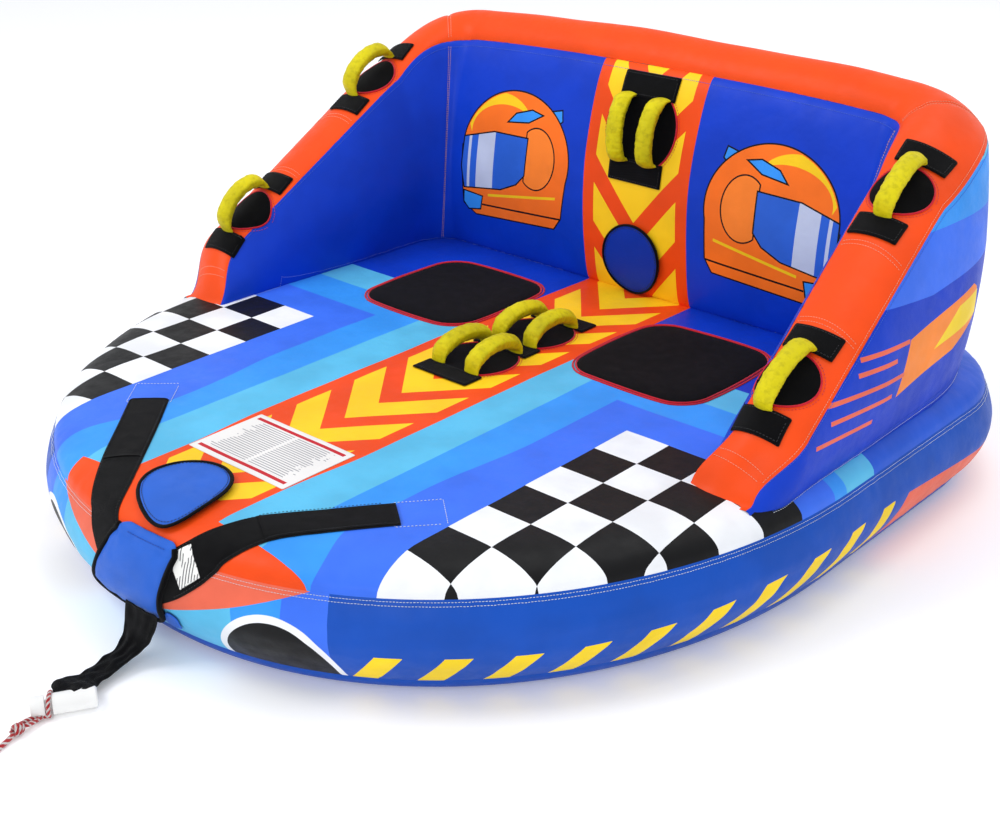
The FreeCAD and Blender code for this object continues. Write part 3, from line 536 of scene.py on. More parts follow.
def inset(x, y):
    """About how far inside the seam a deck place is."""
    x = abs(x)
    if y < WIDEST:
        reach = ((x / HALF_WIDTH) ** NOSE_POWER
                 + ((WIDEST - y) / (WIDEST - NOSE)) ** NOSE_POWER) ** (1 / NOSE_POWER)
        return (1 - reach) * math.hypot(x, WIDEST - y) / max(reach, 1e-6) if reach > 0.5 else SHOULDER
    straight_x = HALF_WIDTH - x
    straight_y = REAR - y
    if straight_x < REAR_RADIUS and straight_y < REAR_RADIUS:
        return REAR_RADIUS - math.hypot(REAR_RADIUS - straight_x, REAR_RADIUS - straight_y)
    return min(straight_x, straight_y)


def deck_height(x, y):
    """Height of the deck's surface."""
    width = inset(x, y)
    return TOP_SEAM + shoulder_rise(width) + deck_wave(x, y) * min(1.0, max(0.0, width / SHOULDER))


def gathers(distance, away, reach=0.022, depth=0.0030):
    """Small tucks that run into a sewn seam and fade away from it."""
    fade = math.exp(-away / reach)
    tuck = 0.6 * ripple((distance, 0.0, 7.0), 55.0) + 0.5 * ripple((distance, 4.0, 1.0), 120.0)
    return depth * fade * tuck


def make_deck():
    """The deck rounds up from the rim, then runs flat to a spine in the middle."""
    rows = [0.0, 0.002, 0.005, 0.009, 0.014, 0.021, 0.030, 0.040, 0.052, 0.066, 0.082, SHOULDER]
    inner_rows = 17
    points = []
    for width in rows:
        for (px, py, _), (_, _, distance) in zip(ring(-width, 0.0), rim):
            lift = gathers(distance, width) if width else 0.0
            wave = deck_wave(px, py) * width / SHOULDER
            points.append((px, py, TOP_SEAM + shoulder_rise(width) + wave + lift))
    last = points[-len(rim):]
    for step in range(1, inner_rows + 1):
        share = step / inner_rows
        for x, y, _ in last:
            spine = min(0.35, max(-0.30, y))
            px, py = mix(x, 0.0, share), mix(y, spine, share)
            points.append((px, py, DECK + deck_wave(px, py)))
    faces = grid_faces(len(rows) + inner_rows, len(rim), closed=True)
    deck = new_mesh("deck_cover_print", points, faces, deck_print())
    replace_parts(deck, "deck_cover")
    keep_surface(points, faces)


def side_out(share):
    """How far the side wall stands out from the seam, from the top seam to the floor seam."""
    return -0.025 * share + 0.033 * math.sin(math.pi * share) ** 0.9


def store(piece, name, values):
    """Keeps one number per point on a mesh, for its material."""
    layer = piece.data.attributes.new(name, "FLOAT", "POINT")
    layer.data.foreach_set("value", values)


def make_side():
    """The side wall, bulging between its gathered seams."""
    rows = 34
    points = []
    for row in range(rows):
        share = row / (rows - 1)
        for (x, y, distance), out in zip(rim, rim_out):
            away = min(share, 1 - share) * WALL
            stand = side_out(share) + 0.002 * ripple((x, y, share), 7.0) * math.sin(math.pi * share)
            if 0 < row < rows - 1:
                stand += gathers(distance + 9.0, away, depth=0.0042)
            points.append((x + out.x * stand, y + out.y * stand, TOP_SEAM - WALL * share))
    faces = grid_faces(rows, len(rim), closed=True)
    side = new_mesh("side_cover_print", points, faces, side_print())
    store(side, "round", [distance for _, _, distance in rim] * rows)
    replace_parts(side, "side_band")
    keep_surface(points, faces)


def make_bottom():
    """The floor panel turns under from the floor seam and lies flat."""
    run = [(side_out(1.0), FLOOR_SEAM), (-0.028, 0.022), (-0.036, 0.010), (-0.050, 0.002), (-0.075, 0.0)]
    points = [point for away, height in run for point in ring(away, height)]
    last = points[-len(rim):]
    inner = (0.3, 0.65, 1.0)
    for share in inner:
        points += [(mix(x, 0, share), mix(y, min(0.3, max(-0.3, y)), share), 0.0) for x, y, _ in last]
    faces = grid_faces(len(run) + len(inner), len(rim), closed=True)
    cloth = Cloth("bottom_print", DEEP, coat=0.05).finish()
    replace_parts(new_mesh("floor_panel", points, faces, cloth), "bottom_cover")


# ---------------------------------------------------------------- backrest: rails, section, panels
def rail(station, side_x, back_y, power):
    """A level line from an arm's toe round the bend to the middle of the back; stations past 1 mirror."""
    mirror = -1.0 if station > 1 else 1.0
    station = 2 - station if station > 1 else station
    if station <= ARM_SHARE:
        return mirror * side_x, mix(TOE, BEND_START, station / ARM_SHARE)
    if station <= BEND_SHARE:
        turn = (station - ARM_SHARE) / (BEND_SHARE - ARM_SHARE) * math.pi / 2
        x = BEND_END + (side_x - BEND_END) * max(math.cos(turn), 0.0) ** (2 / power)
        return mirror * x, BEND_START + (back_y - BEND_START) * math.sin(turn) ** (2 / power)
    return mirror * BEND_END * (1 - station) / (1 - BEND_SHARE), back_y


def crest(station):
    """Height of the backrest's top above the deck."""
    x, y = rail(station, 0.70, 0.655, 2.6)
    toe = max(y - TOE, 0.0) * TOE_SLOPE
    slope = ARM_MARK_RISE + (y - ARM_MARK) * ARM_SLOPE
    roof = BACK_RISE - 0.040 * (abs(x) / 0.66) ** 2.4
    return soft_min(soft_min(toe, slope, 0.06), roof, 0.07)


def back_share(station):
    """0 on the arms, 1 on the back."""
    return smooth(ARM_SHARE - 0.05, BEND_SHARE, min(station, 2 - station))


def edge_in(station):
    """Where the bright band's inner seam runs."""
    height = max(crest(station) - mix(0.010, 0.056, back_share(station)), -0.003)
    lean = 0.665 - 0.147 * height - 0.05 * (1 - smooth(0.0, 0.10, height))
    x, y = rail(station, lean, 0.582, 2.4)
    return Vector((x, y, DECK + height))


def edge_out(station):
    """Where its outer seam runs."""
    height = max(crest(station) - mix(0.036, 0.062, back_share(station)), -0.008)
    lean = 0.778 - 0.092 * height - 0.05 * (1 - smooth(0.0, 0.09, height))
    x, y = rail(station, lean, 0.704, 3.4)
    return Vector((x, y, max(DECK + height, deck_height(x, y) - 0.002)))


def base_in(station):
    """Where the inner wall meets the deck."""
    x, y = rail(station, mix(0.610, 0.585, smooth(0, ARM_SHARE, min(station, 2 - station))), 0.524, 2.2)
    return Vector((x, y, DECK - 0.002))


def base_out(station):
    """Where the outer wall meets the deck."""
    x, y = rail(station, mix(0.742, 0.757, smooth(0, 0.06, min(station, 2 - station))), 0.700, 2.5)
    return Vector((x, y, deck_height(x, y) - 0.004))


def level_out(station):
    """Level direction from the seat towards the outside at a station."""
    step = 0.004
    x0, y0 = rail(max(station - step, 0.0), 0.70, 0.64, 2.4)
    x1, y1 = rail(min(station + step, 2.0), 0.70, 0.64, 2.4)
    run = Vector((x1 - x0, y1 - y0, 0)).normalized()
    return Vector((run.y, -run.x, 0))


def inner_wall(station, share):
    """From the deck up to the band, bulging towards the seat."""
    low, high = base_in(station), edge_in(station)
    tall = high.z - low.z
    side = back_share(station)
    puff = mix(0.035, 0.046, side) * min(1.0, max(tall, 0) / 0.30)
    swell = math.sin(math.pi * share) ** mix(0.8, 0.55, side)
    return low.lerp(high, share) - level_out(station) * puff * swell


def outer_wall(station, share):
    """From the band down to the deck, bulging outwards."""
    high, low = edge_out(station), base_out(station)
    puff = 0.024 * min(1.0, max(high.z - low.z, 0) / 0.25)
    return high.lerp(low, share) + level_out(station) * puff * math.sin(math.pi * share) ** 0.8


def band(station, share):
    """Over the top from the inner seam to the outer one."""
    first, last = edge_in(station), edge_out(station)
    side = back_share(station)
    up = Vector((0, 0, mix(0.025, 0.060, side) * smooth(-0.002, 0.10, crest(station))))
    dome = math.sin(math.pi * share) ** mix(0.75, 0.62, side)
    toe = 1 - smooth(0.0, 0.07, min(station, 2 - station))
    forward = Vector((0, -0.012 * toe * math.sin(math.pi * share), 0))
    return first.lerp(last, share) + up * dome + forward


MITRE = BEND_SHARE * 0.86                 # station of the seam where the arm's band meets the back's
PANEL_STEPS = 379                         # steps along the backrest from one toe to the other


def panel_points(surface, shares, seed):
    """Points over a backrest panel, gathered at its edges and at the mitre seams, whose wrinkles cross it."""
    points = []
    for share in shares:
        distance = 0.0
        before = surface(0.0, share)
        for step in range(PANEL_STEPS + 1):
            station = 2.0 * step / PANEL_STEPS
            here = surface(station, share)
            distance += (here - before).length
            before = here
            lift = 0.0035 * ripple((here.x, here.y, here.z + seed), 6.0)
            for edge in (0.0, 1.0):
                tuck = gathers(distance + seed, abs(share - edge) * 0.4, depth=0.0046)
                lift += tuck * min(1.0, distance / 0.12)
            near = min(abs(station - MITRE), abs(2 - station - MITRE))
            lift -= 0.004 * math.exp(-near / 0.004)
            lift += gathers(share * 0.3 + seed, near * 2.4, reach=0.04, depth=0.006)
            lift *= math.sin(math.pi * min(max(share, 0.02), 0.98)) ** 0.4
            if surface is band:
                points.append(here + Vector((0, 0, lift)))
            else:
                points.append(here + level_out(station) * lift * (-1 if surface is inner_wall else 1))
    return points


def make_panel(name, surface, rows, cloth, node, seed):
    """One panel of the backrest from toe to toe, its rows closer together at the seams."""
    shares = [0.5 - 0.5 * math.cos(math.pi * step / (rows - 1)) for step in range(rows)]
    points = panel_points(surface, shares, seed)
    faces = grid_faces(rows, PANEL_STEPS + 1)
    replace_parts(new_mesh(name, points, faces, cloth), node)
    keep_surface(points, faces)


def make_backrest():
    make_panel("backrest_inner_print", inner_wall, 46, back_print(), "backrest_inner_cover",
               1.0)
    make_panel("top_band", band, 26, cover_cloth("band_print", ORANGE).finish(shade=0.07),
               "backrest_top_band", 2.0)
    make_panel("backrest_outer_print", outer_wall, 40, arm_wall_print(), "backrest_outer_cover",
               3.0)


# ---------------------------------------------------------------- stage and camera
def make_stage():
    """A pale floor, an even sky and four soft lamps."""
    floor_material = bpy.data.materials.new("studio_floor")
    floor_material.use_nodes = True
    shader = floor_material.node_tree.nodes["Principled BSDF"]
    set_inputs(shader, {"Base Color": (0.94, 0.94, 0.95, 1), "Roughness": 0.8,
                        "Emission Color": (1, 1, 1, 1), "Emission Strength": 0.14})
    reach = 30.0
    corners = [(-reach, -reach, 0), (reach, -reach, 0), (reach, reach, 0), (-reach, reach, 0)]
    mesh = bpy.data.meshes.new("studio_floor")
    mesh.from_pydata(corners, [], [(0, 1, 2, 3)])
    mesh.materials.append(floor_material)
    floor = bpy.data.objects.new("studio_floor", mesh)
    bpy.context.scene.collection.objects.link(floor)
    world = bpy.data.worlds.new("studio")
    bpy.context.scene.world = world
    world.use_nodes = True
    set_inputs(world.node_tree.nodes["Background"], {"Color": (0.95, 0.97, 1.0, 1), "Strength": 0.80})
    bpy.context.scene.view_settings.view_transform = "Standard"
    aim = Vector((0, 0, 0.3))
    for name, place, power, size in (
            ("key", (-2.4, -2.6, 4.4), 84, 2.2), ("fill", (2.6, -5.2, 2.6), 62, 2.6),
            ("top", (0.4, 1.2, 4.6), 46, 2.6), ("rear", (0.5, 4.8, 2.6), 22, 3.0)):
        lamp = bpy.data.lights.new(name, "AREA")
        lamp.energy = power
        lamp.size = size
        item = bpy.data.objects.new(name, lamp)
        item.location = place
        item.rotation_euler = (aim - Vector(place)).to_track_quat("-Z", "Y").to_euler()
        bpy.context.scene.collection.objects.link(item)


CAMERA_PLACE = (1.868, -2.001, 1.426)
CAMERA_AZIMUTH = math.radians(41.9)
CAMERA_ELEVATION = math.radians(25.324)
CAMERA_ROLL = math.radians(-0.2)
LENS = 54.71              # focal length in millimetres behind a sensor 36 mm wide


def make_camera():
    """Stands at the nose's right, a little above, where the photographer stood."""
    azimuth, elevation, roll = CAMERA_AZIMUTH, CAMERA_ELEVATION, CAMERA_ROLL
    back = Vector((math.sin(azimuth) * math.cos(elevation), -math.cos(azimuth) * math.cos(elevation),
                   math.sin(elevation)))
    right = Vector((math.cos(azimuth), math.sin(azimuth), 0))
    up = back.cross(right)
    across = right * math.cos(roll) + up * math.sin(roll)
    upright = up * math.cos(roll) - right * math.sin(roll)
    turn = Matrix((across, upright, back)).transposed()
    data = bpy.data.cameras.new("camera")
    data.lens = LENS
    data.sensor_width = 36.0
    camera = bpy.data.objects.new("camera", data)
    camera.matrix_world = Matrix.Translation(CAMERA_PLACE) @ turn.to_4x4()
    bpy.context.scene.collection.objects.link(camera)
    bpy.context.scene.camera = camera


# ---------------------------------------------------------------- frames that the fittings sit in
def strike(start, out, depth):
    """Where a line from a place, going against an outward direction, meets the skin, and how it faces."""
    hit, normal, _, _ = skin.ray_cast(start, -out, depth)
    if hit is not None and normal.dot(out) <= 0:
        normal = -normal
    return hit, normal


class Frame:
    """A flat frame beside the skin: places in it are dropped onto the visible covers."""

    def __init__(self, origin, tilt, reach=0.12):
        self.origin = Vector(origin)
        turn = Matrix.Rotation(math.radians(tilt), 3, "X")
        self.across = turn @ Vector((1, 0, 0))
        self.along = turn @ Vector((0, 1, 0))
        self.out = turn @ Vector((0, 0, 1))
        self.reach = reach

    def faced(self, across, along, out):
        """The same frame with other directions."""
        copy = Frame(self.origin, 0, self.reach)
        copy.across, copy.along, copy.out = across, along, out
        return copy

    def turned(self, degrees):
        """The same frame turned about its own outward direction."""
        turn = Matrix.Rotation(math.radians(degrees), 3, self.out)
        return self.faced(turn @ self.across, turn @ self.along, self.out)

    def shifted(self, across):
        """The same frame moved sideways."""
        copy = Frame(self.origin + self.across * across, 0)
        return copy.faced(self.across, self.along, self.out)

    def point(self, across, along, out=0.0):
        return self.origin + self.across * across + self.along * along + self.out * out

    def drop(self, across, along):
        """The place and direction of the skin under a point of the frame."""
        hit, normal = strike(self.point(across, along, self.reach), self.out, 2 * self.reach)
        return (hit, normal) if hit is not None else (self.point(across, along), self.out)

    def on_skin(self, across, along, out):
        hit, normal = self.drop(across, along)
        lean = (normal + self.out).normalized()
        return hit + lean * out


def deck_frame(across, along):
    return Frame((across, along, DECK), 0)


def back_frame(across, along):
    return Frame(Frame((across, BACK_FOOT, DECK), BACK_TILT).point(0, along), BACK_TILT)


def arm_frame(across, along):
    return Frame(Frame((across, ARM_MARK, DECK + ARM_MARK_RISE), ARM_TILT).point(0, along), ARM_TILT)


# ---------------------------------------------------------------- sewn pieces
def rounded_rectangle(half_across, half_along, corner, side_steps, bow=0.0):
    """Outline with round corners whose sides may bow outwards."""
    points = []
    corner_steps = 6
    x, y = half_across - corner, half_along - corner
    corners = [(x, y), (-x, y), (-x, -y), (x, -y)]
    for quarter, (x, y) in enumerate(corners):
        for step in range(corner_steps + 1):
            turn = math.pi / 2 * (quarter + step / corner_steps)
            points.append((x + corner * math.cos(turn), y + corner * math.sin(turn)))
        x, y = corners[(quarter + 1) % 4]
        end = (x + corner * math.cos(turn), y + corner * math.sin(turn))
        start = points[-1]
        for step in range(1, side_steps):
            share = step / side_steps
            points.append((mix(start[0], end[0], share), mix(start[1], end[1], share)))
    if bow:
        points = [(x * (1 + bow * (1 - (y / half_along) ** 2)), y * (1 + bow * (1 - (x / half_across) ** 2)))
                  for x, y in points]
    return points


def disc(radius):
    steps = 72
    turns = [2 * math.pi * step / steps for step in range(steps)]
    return [(radius * math.cos(turn), radius * math.sin(turn)) for turn in turns]


def plate(name, where, outline, thick, material, body="tube", lift=0.0, flat=10.0, centre=(0, 0),
          rings=9, crease=0.0):
    """A closed flat or padded piece lying on the skin; a low 'flat' makes it crown like a cushion."""
    count = len(outline)
    shares = [math.sin(math.pi / 2 * step / rings) for step in range(1, rings + 1)]
    points = []
    for share in shares:
        for x, y in outline:
            points.append(where.on_skin(centre[0] + x * share, centre[1] + y * share, lift))
    for share in reversed(shares[:-1]):
        high = thick * (1 - share ** flat) ** (1 / 2.2)
        for place, (x, y) in enumerate(outline):
            fold = crease * ripple((x * share, y * share, thick), 60.0) * share ** 3
            points.append(where.on_skin(centre[0] + x * share, centre[1] + y * share, lift + high + fold))
    faces = grid_faces(2 * rings - 1, count, closed=True)
    points.append(where.on_skin(centre[0], centre[1], lift))
    points.append(where.on_skin(centre[0], centre[1], lift + thick))
    low, high = len(points) - 2, len(points) - 1
    last = (2 * rings - 2) * count
    faces += [(low, (place + 1) % count, place) for place in range(count)]
    faces += [(high, last + place, last + (place + 1) % count) for place in range(count)]
    return new_mesh(name, points, faces, material, body)


def tube(name, centres, radius, material, body="tube", closed=False, sides=8, squash=1.0, up=None,
         profile=None, thin=None):
    """A round or flattened tube along points; profile and thin may change its girth with the place."""
    count = len(centres)
    points = []
    across = None
    for place, centre in enumerate(centres):
        before = centres[place - 1] if place or closed else centre
        after = centres[(place + 1) % count] if place < count - 1 or closed else centre
        run = (after - before).normalized()
        upright = Vector((0, 0, 1)) if abs(run.z) < 0.9 else Vector((1, 0, 0))
        guide = up if up else (across or upright)
        across = (guide - run * guide.dot(run)).normalized()
        side = run.cross(across)
        for step in range(sides):
            turn = 2 * math.pi * step / sides
            reach = radius * (profile(place / (count - 1), turn) if profile else 1.0)
            low = thin(place / (count - 1)) if thin else 1.0
            points.append(centre + across * math.cos(turn) * reach * squash
                          + side * math.sin(turn) * reach * low)
    return new_mesh(name, points, tube_faces(count, sides, closed), material, body)


def outline_on_skin(where, outline, out, grow, centre=(0, 0)):
    """An outline's points on the skin, grown a little outwards."""
    points = []
    for x, y in outline:
        reach = math.hypot(x, y)
        share = (reach + grow) / reach
        points.append(where.on_skin(centre[0] + x * share, centre[1] + y * share, out))
    return points


THREAD_SUNK = 0.0004      # how far a stitch's ends go into the cloth
STITCH_FACES = [(1, 3, 7, 5), (3, 2, 6, 7), (0, 3, 1), (0, 2, 3), (4, 5, 7), (4, 7, 6), (0, 1, 5, 4),
                (2, 0, 4, 6)]


def stitches(name, centres, normals, material, body="tube", slot="webbing", pitch=0.0062, long=0.0044,
             thick=0.0007):
    """A row of raised thread stitches along a line of points."""
    points = []
    faces = []
    lengths = run_lengths(centres)
    place = 0
    wanted = pitch
    while wanted < lengths[-1] - pitch:
        while lengths[place + 1] < wanted:
            place += 1
        share = (wanted - lengths[place]) / (lengths[place + 1] - lengths[place])
        centre = centres[place].lerp(centres[place + 1], share)
        run = (centres[place + 1] - centres[place]).normalized()
        normal = normals[place]
        side = run.cross(normal).normalized()
        start = len(points)
        for end in (-1, 1):
            points.append(centre + run * end * long / 2 - normal * THREAD_SUNK)
            points.append(centre + run * end * long * 0.3 + side * thick + normal * thick * 0.3)
            points.append(centre + run * end * long * 0.3 - side * thick + normal * thick * 0.3)
            points.append(centre + run * end * long * 0.25 + normal * thick * 1.3)
        faces += [tuple(start + corner for corner in face) for face in STITCH_FACES]
        wanted += pitch
    return new_mesh(name, points, faces, material, body)


def stitch_outline(name, where, outline, out, material, grow=0.0, centre=(0, 0), body="tube", slot="webbing"):
    points = outline_on_skin(where, outline, out, grow, centre)
    points.append(points[0])
    return stitches(name, points, [where.out] * len(points), material, body, slot)


# ---------------------------------------------------------------- fabrics of the fittings
def webbing_cloth():
    """Ribbed black polyester webbing."""
    cloth = Cloth("webbing", BLACK, gloss=0.05, roughness=0.66, weave=620.0, bump=0.5, sheen=0.05)
    rib = cloth.thread("DIAGONAL")
    cloth.paint(rib.ramp(0.3, 0.7, 0.0, 0.5), linear(20, 20, 22))
    return cloth.finish(shade=0.2)


def neoprene_cloth():
    """Matt black knit over foam."""
    cloth = Cloth("neoprene", linear(8, 8, 10), roughness=0.75, gloss=0.05, weave=900.0, bump=0.3, sheen=0.05)
    return cloth.finish(0.25)


def grip_cloth():
    """Yellow-green nylon drawn tight over the grips."""
    cloth = Cloth("grip_nylon", linear(214, 200, 14), roughness=0.5, weave=800.0, bump=0.2, wrinkle=0.6)
    cloth.paint(cloth.noise(90.0, 4.0).ramp(0.45, 0.75, 0.0, 0.55), linear(168, 156, 8))
    return cloth.finish(0.2)


def plain_cloth(name, colour, roughness=0.45):
    return Cloth(name, colour, roughness=roughness, weave=900.0, bump=0.2).finish(0.12)


def plastic(name, colour, roughness=0.35):
    """Moulded plastic with a fine eggshell grain."""
    cloth = Cloth(name, colour, roughness=roughness, weave=300.0, bump=0.05, sheen=0.0, coat=0.2)
    return cloth.finish(0.06)


def thread_material(name, colour):
    cloth = Cloth(name, colour, roughness=0.6, weave=2400.0, bump=0.4, sheen=0.2)
    return cloth.finish(0.1)


# ---------------------------------------------------------------- grab handles
PATCH_LONG = 0.050
PATCH_FROM = 0.064        # from the middle of a handle to its patches
PATCH_HEM = 0.005         # from a patch's edge to its stitching
HANDLE_REACH = 0.067      # from the middle of a handle to its tails
HANDLE_PAIR = 0.041       # from the middle line to each handle of a pair
GRIP_RADIUS = 0.0156
GRIP_SQUASH = 1.22        # how much wider than high a grip is
DECK_RISE = 0.038         # how far the handles stand up, used and pressed differently around the tube
LEFT_RISE = 0.046
RIGHT_RISE = 0.030


def cover_handle(title, where, across, high):
    """Padded grip of gathered nylon, its two tails going down under the patches."""
    shifted = where.shifted(across)
    seed = where.origin.x * 7 + where.origin.y * 5 + across * 31
    foot_low, foot_high = ((shifted.drop(0, end)[0] - shifted.origin).dot(shifted.out)
                           for end in (-HANDLE_REACH, HANDLE_REACH))
    steps = 110
    centres = []
    for step in range(steps + 1):
        share = step / steps
        turn = math.pi * (share - 0.5)
        rise = mix(foot_low, foot_high, share) + 0.006 + high * max(math.cos(turn), 0.0) ** 0.85
        sway = 0.003 * math.sin(3.1 * share + seed)
        centres.append(shifted.point(sway, HANDLE_REACH * math.sin(turn), rise))

    def wrap(share, turn):
        ends = smooth(0.0, 0.20, share) * smooth(0.0, 0.20, 1 - share)
        pucker = 0.06 * ripple((share * 8 + seed, math.cos(turn) * 0.8, math.sin(turn) * 0.8), 2.2)
        folds = 0.045 * ripple((share * 46 + seed, math.cos(turn), math.sin(turn)), 1.0)
        ridge = 0.09 * max(math.cos(turn * 2.0 + 0.6), 0.0) ** 9 * (1 + ripple((share * 60, seed, 0.0), 1.0))
        return mix(0.92, 1.0, ends) * (1 + pucker + folds + ridge)

    def flat(share):
        return mix(0.38, 1.0, smooth(0.0, 0.24, share) * smooth(0.0, 0.24, 1 - share))

    piece = tube(title + "_wrap", centres, GRIP_RADIUS, grip_material, body=title, sides=32,
                 profile=wrap, thin=flat, squash=GRIP_SQUASH, up=shifted.across)
    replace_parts(piece, title)


def sew_station(name, where, half_patch, guard_radius, handles, rise, nodes, patches=(-1, 1)):
    """Round knuckle guard with red piping, its webbing patches and the handles over it."""
    half_long = PATCH_LONG / 2
    for side in patches:
        title = "near" if side < 0 else "far"
        centre = (0.0, side * (PATCH_FROM + half_long))
        outline = rounded_rectangle(half_patch, half_long, 0.003, side_steps=14)
        patch = plate(name + "_patch_" + title, where, outline, 0.0028, webbing_material,
                      lift=0.0022, flat=26.0, centre=centre)
        inner = rounded_rectangle(half_patch - PATCH_HEM, half_long - PATCH_HEM, 0.002, side_steps=14)
        stitch_outline(name + "_patch_thread_" + title, where, inner, 0.0052, dark_thread, centre=centre)
        if side == patches[0]:
            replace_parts(patch, nodes + "_handle_patches")
    outline = disc(guard_radius)
    guard = plate(name + "_guard", where, outline, 0.0026, neoprene_material, flat=30.0)
    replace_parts(guard, nodes + ("_knuckle_guard" if nodes == "back" else "_knuckle_guards"))
    tube(name + "_guard_piping", outline_on_skin(where, outline, 0.0016, -0.001), 0.0019, red_piping,
         closed=True)
    stitch_outline(name + "_guard_thread", where, disc(guard_radius + 0.0045), 0.0004, red_thread,
                   slot="knuckle_guard")
    for title, across in handles:
        cover_handle(title, where, across, rise)


def pair_of(title):
    return [(title + "_handle_left", -HANDLE_PAIR), (title + "_handle_right", HANDLE_PAIR)]


def sew_handles():
    """The deck's front pair shares the patch between it and the rear pair."""
    for name, along, patches in (("front", 0.017, (-1,)), ("rear", 0.190, (-1, 1))):
        sew_station(name + "_deck", deck_frame(0, along), 0.070, 0.082, pair_of(name), DECK_RISE, "deck",
                    patches)
    sew_station("back", back_frame(0, 0.360), 0.070, 0.090, pair_of("back"), DECK_RISE, "back")
    for side, sign, rise in (("left", -1, LEFT_RISE), ("right", 1, RIGHT_RISE)):
        for title, across, along in (("low", 0.690, 0.054), ("high", 0.670, 0.493)):
            station = "%s_arm_%s" % (side, title)
            sew_station(station, arm_frame(sign * across, along), 0.047, 0.057,
                        [(station + "_handle", 0.0)], rise, side + "_arm")


# ---------------------------------------------------------------- seat pads, label, flaps, nose
PAD_PLACE = (0.292, 0.255)                # the pads' middles: from the pair's middle line, and along Y
PAD_HALF = (0.144, 0.151)
LABEL_ALONG = -0.513                      # Y of the label's middle
LABEL_HALF = (0.125, 0.083)


def make_seat_pads():
    """Flat foam pads with bowed sides and twin red piping."""
    for side, sign in (("left", -1), ("right", 1)):
        where = deck_frame(sign * PAD_PLACE[0] + 0.005, PAD_PLACE[1])
        outline = rounded_rectangle(*PAD_HALF, 0.052, bow=0.07, side_steps=16)
        pad = plate("seat_pad_%s_foam" % side, where, outline, 0.0060, neoprene_material,
                    flat=9.0, rings=14)
        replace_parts(pad, "seat_pad_" + side)
        for title, grow, high in (("outer", 0.0062, 0.0008), ("inner", 0.0, 0.0020)):
            tube("seat_pad_%s_%s_piping" % (side, title), outline_on_skin(where, outline, high, grow), 0.0021,
                 red_piping, closed=True)


def label_paper():
    """Blank care panel: red bars above and below two columns of ruled grey lines."""
    cloth = Cloth("label_print", linear(232, 230, 228), roughness=0.5, weave=1500.0, bump=0.05, sheen=0.0)
    x, y, _ = cloth.xyz()
    up = y - LABEL_ALONG
    ruled = (up.wrapped(0.0062) < 0.0022) & (x.size() > 0.004) & (x.size() < 0.108) & (up.size() < 0.060)
    ragged = (x.size() + cloth.noise(90.0, 0.0) * 0.05) < 0.118
    cloth.paint(ruled & ragged, linear(150, 150, 156))
    for middle in (-0.067, 0.067):
        cloth.paint(((up - middle).size() < 0.0042) & (x.size() < 0.114), linear(196, 38, 48))
    return cloth.finish(0.05)


def make_label():
    """The blank label in front of the handles."""
    where = deck_frame(0, LABEL_ALONG)
    outline = rounded_rectangle(*LABEL_HALF, 0.003, side_steps=14)
    panel = plate("label_sheet", where, outline, 0.0009, label_paper(), lift=0.0004, flat=40.0,
                  rings=10)
    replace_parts(panel, "label_panel")


def egg(radius, point, turn):
    """Round outline drawn out to a blunt point, turned away from the nose by some degrees."""
    lean = math.radians(turn)
    tip = (math.sin(lean), -math.cos(lean))
    outline = []
    for x, y in disc(radius):
        share = max((x * tip[0] + y * tip[1]) / radius, 0.0)
        outline.append((x + tip[0] * radius * point * share ** 3, y + tip[1] * radius * point * share ** 3))
    return outline


def make_valve(name, where, outline, cloth):
    """Fabric flap with bound edge that covers the valve."""
    body = name + "_valve_flap"
    flap = plate(body + "_cloth", where, outline, 0.0024, cloth, body=body, lift=0.0085,
                 flat=14.0, rings=12, crease=0.0012)
    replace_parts(flap, body)
    binding = tube(body + "_binding", outline_on_skin(where, outline, 0.0095, 0.0), 0.0038, webbing_material,
                   body=body, closed=True, squash=0.7)
    thread = stitch_outline(body + "_thread", where, outline, 0.0112, dark_thread, grow=-0.006, body=body)


def make_valves():
    make_valve("deck", deck_frame(0, -0.697), egg(0.076, 0.45, 40.0), deck_flap_cloth)
    make_valve("back", back_frame(0.008, 0.084), egg(0.073, 0.04, 20.0), back_flap_cloth)


def ribbon(name, centres, outs, wides, thick, body="tube", on_skin=False, lift=0.0, columns=13, folds=0.0,
           sides=None):
    """A flat strap of webbing along points, each with its outward direction and half width."""
    count = len(centres)
    top, low = [], []
    for place, (centre, out, wide) in enumerate(zip(centres, outs, wides)):
        before, after = centres[max(place - 1, 0)], centres[min(place + 1, count - 1)]
        run = (after - before).normalized()
        side = sides[place].normalized() if sides else run.cross(out).normalized()
        for column in range(columns):
            share = 2.0 * column / (columns - 1) - 1
            here = centre + side * wide * share
            facing = out
            if on_skin:
                hit, normal = strike(here + out * SKIN_REACH, out, SKIN_DEPTH)
                if hit is not None:
                    here, facing = hit, (normal + out).normalized()
            fold = folds * ripple((share * 2.0, place * 0.22, 5.0), 1.0)
            rounding = (1 - abs(share) ** 12) ** 0.5
            low.append(here + facing * (lift + fold))
            top.append(here + facing * (lift + fold + thick * max(rounding, 0.25)))
    shift = len(low)
    sheet = grid_faces(count, columns)
    faces = [tuple(reversed(face)) for face in sheet]
    faces += [tuple(shift + place for place in face) for face in sheet]
    edges = [(row * columns + column, (row + 1) * columns + column, column > 0)
             for row in range(count - 1) for column in (0, columns - 1)]
    edges += [(row * columns + column, row * columns + column + 1, row == 0)
              for row in (0, count - 1) for column in range(columns - 1)]
    for a, b, flip in edges:
        face = (a, b, b + shift, a + shift)
        faces.append(tuple(reversed(face)) if flip else face)
    return new_mesh(name, low + top, faces, webbing_material, body)


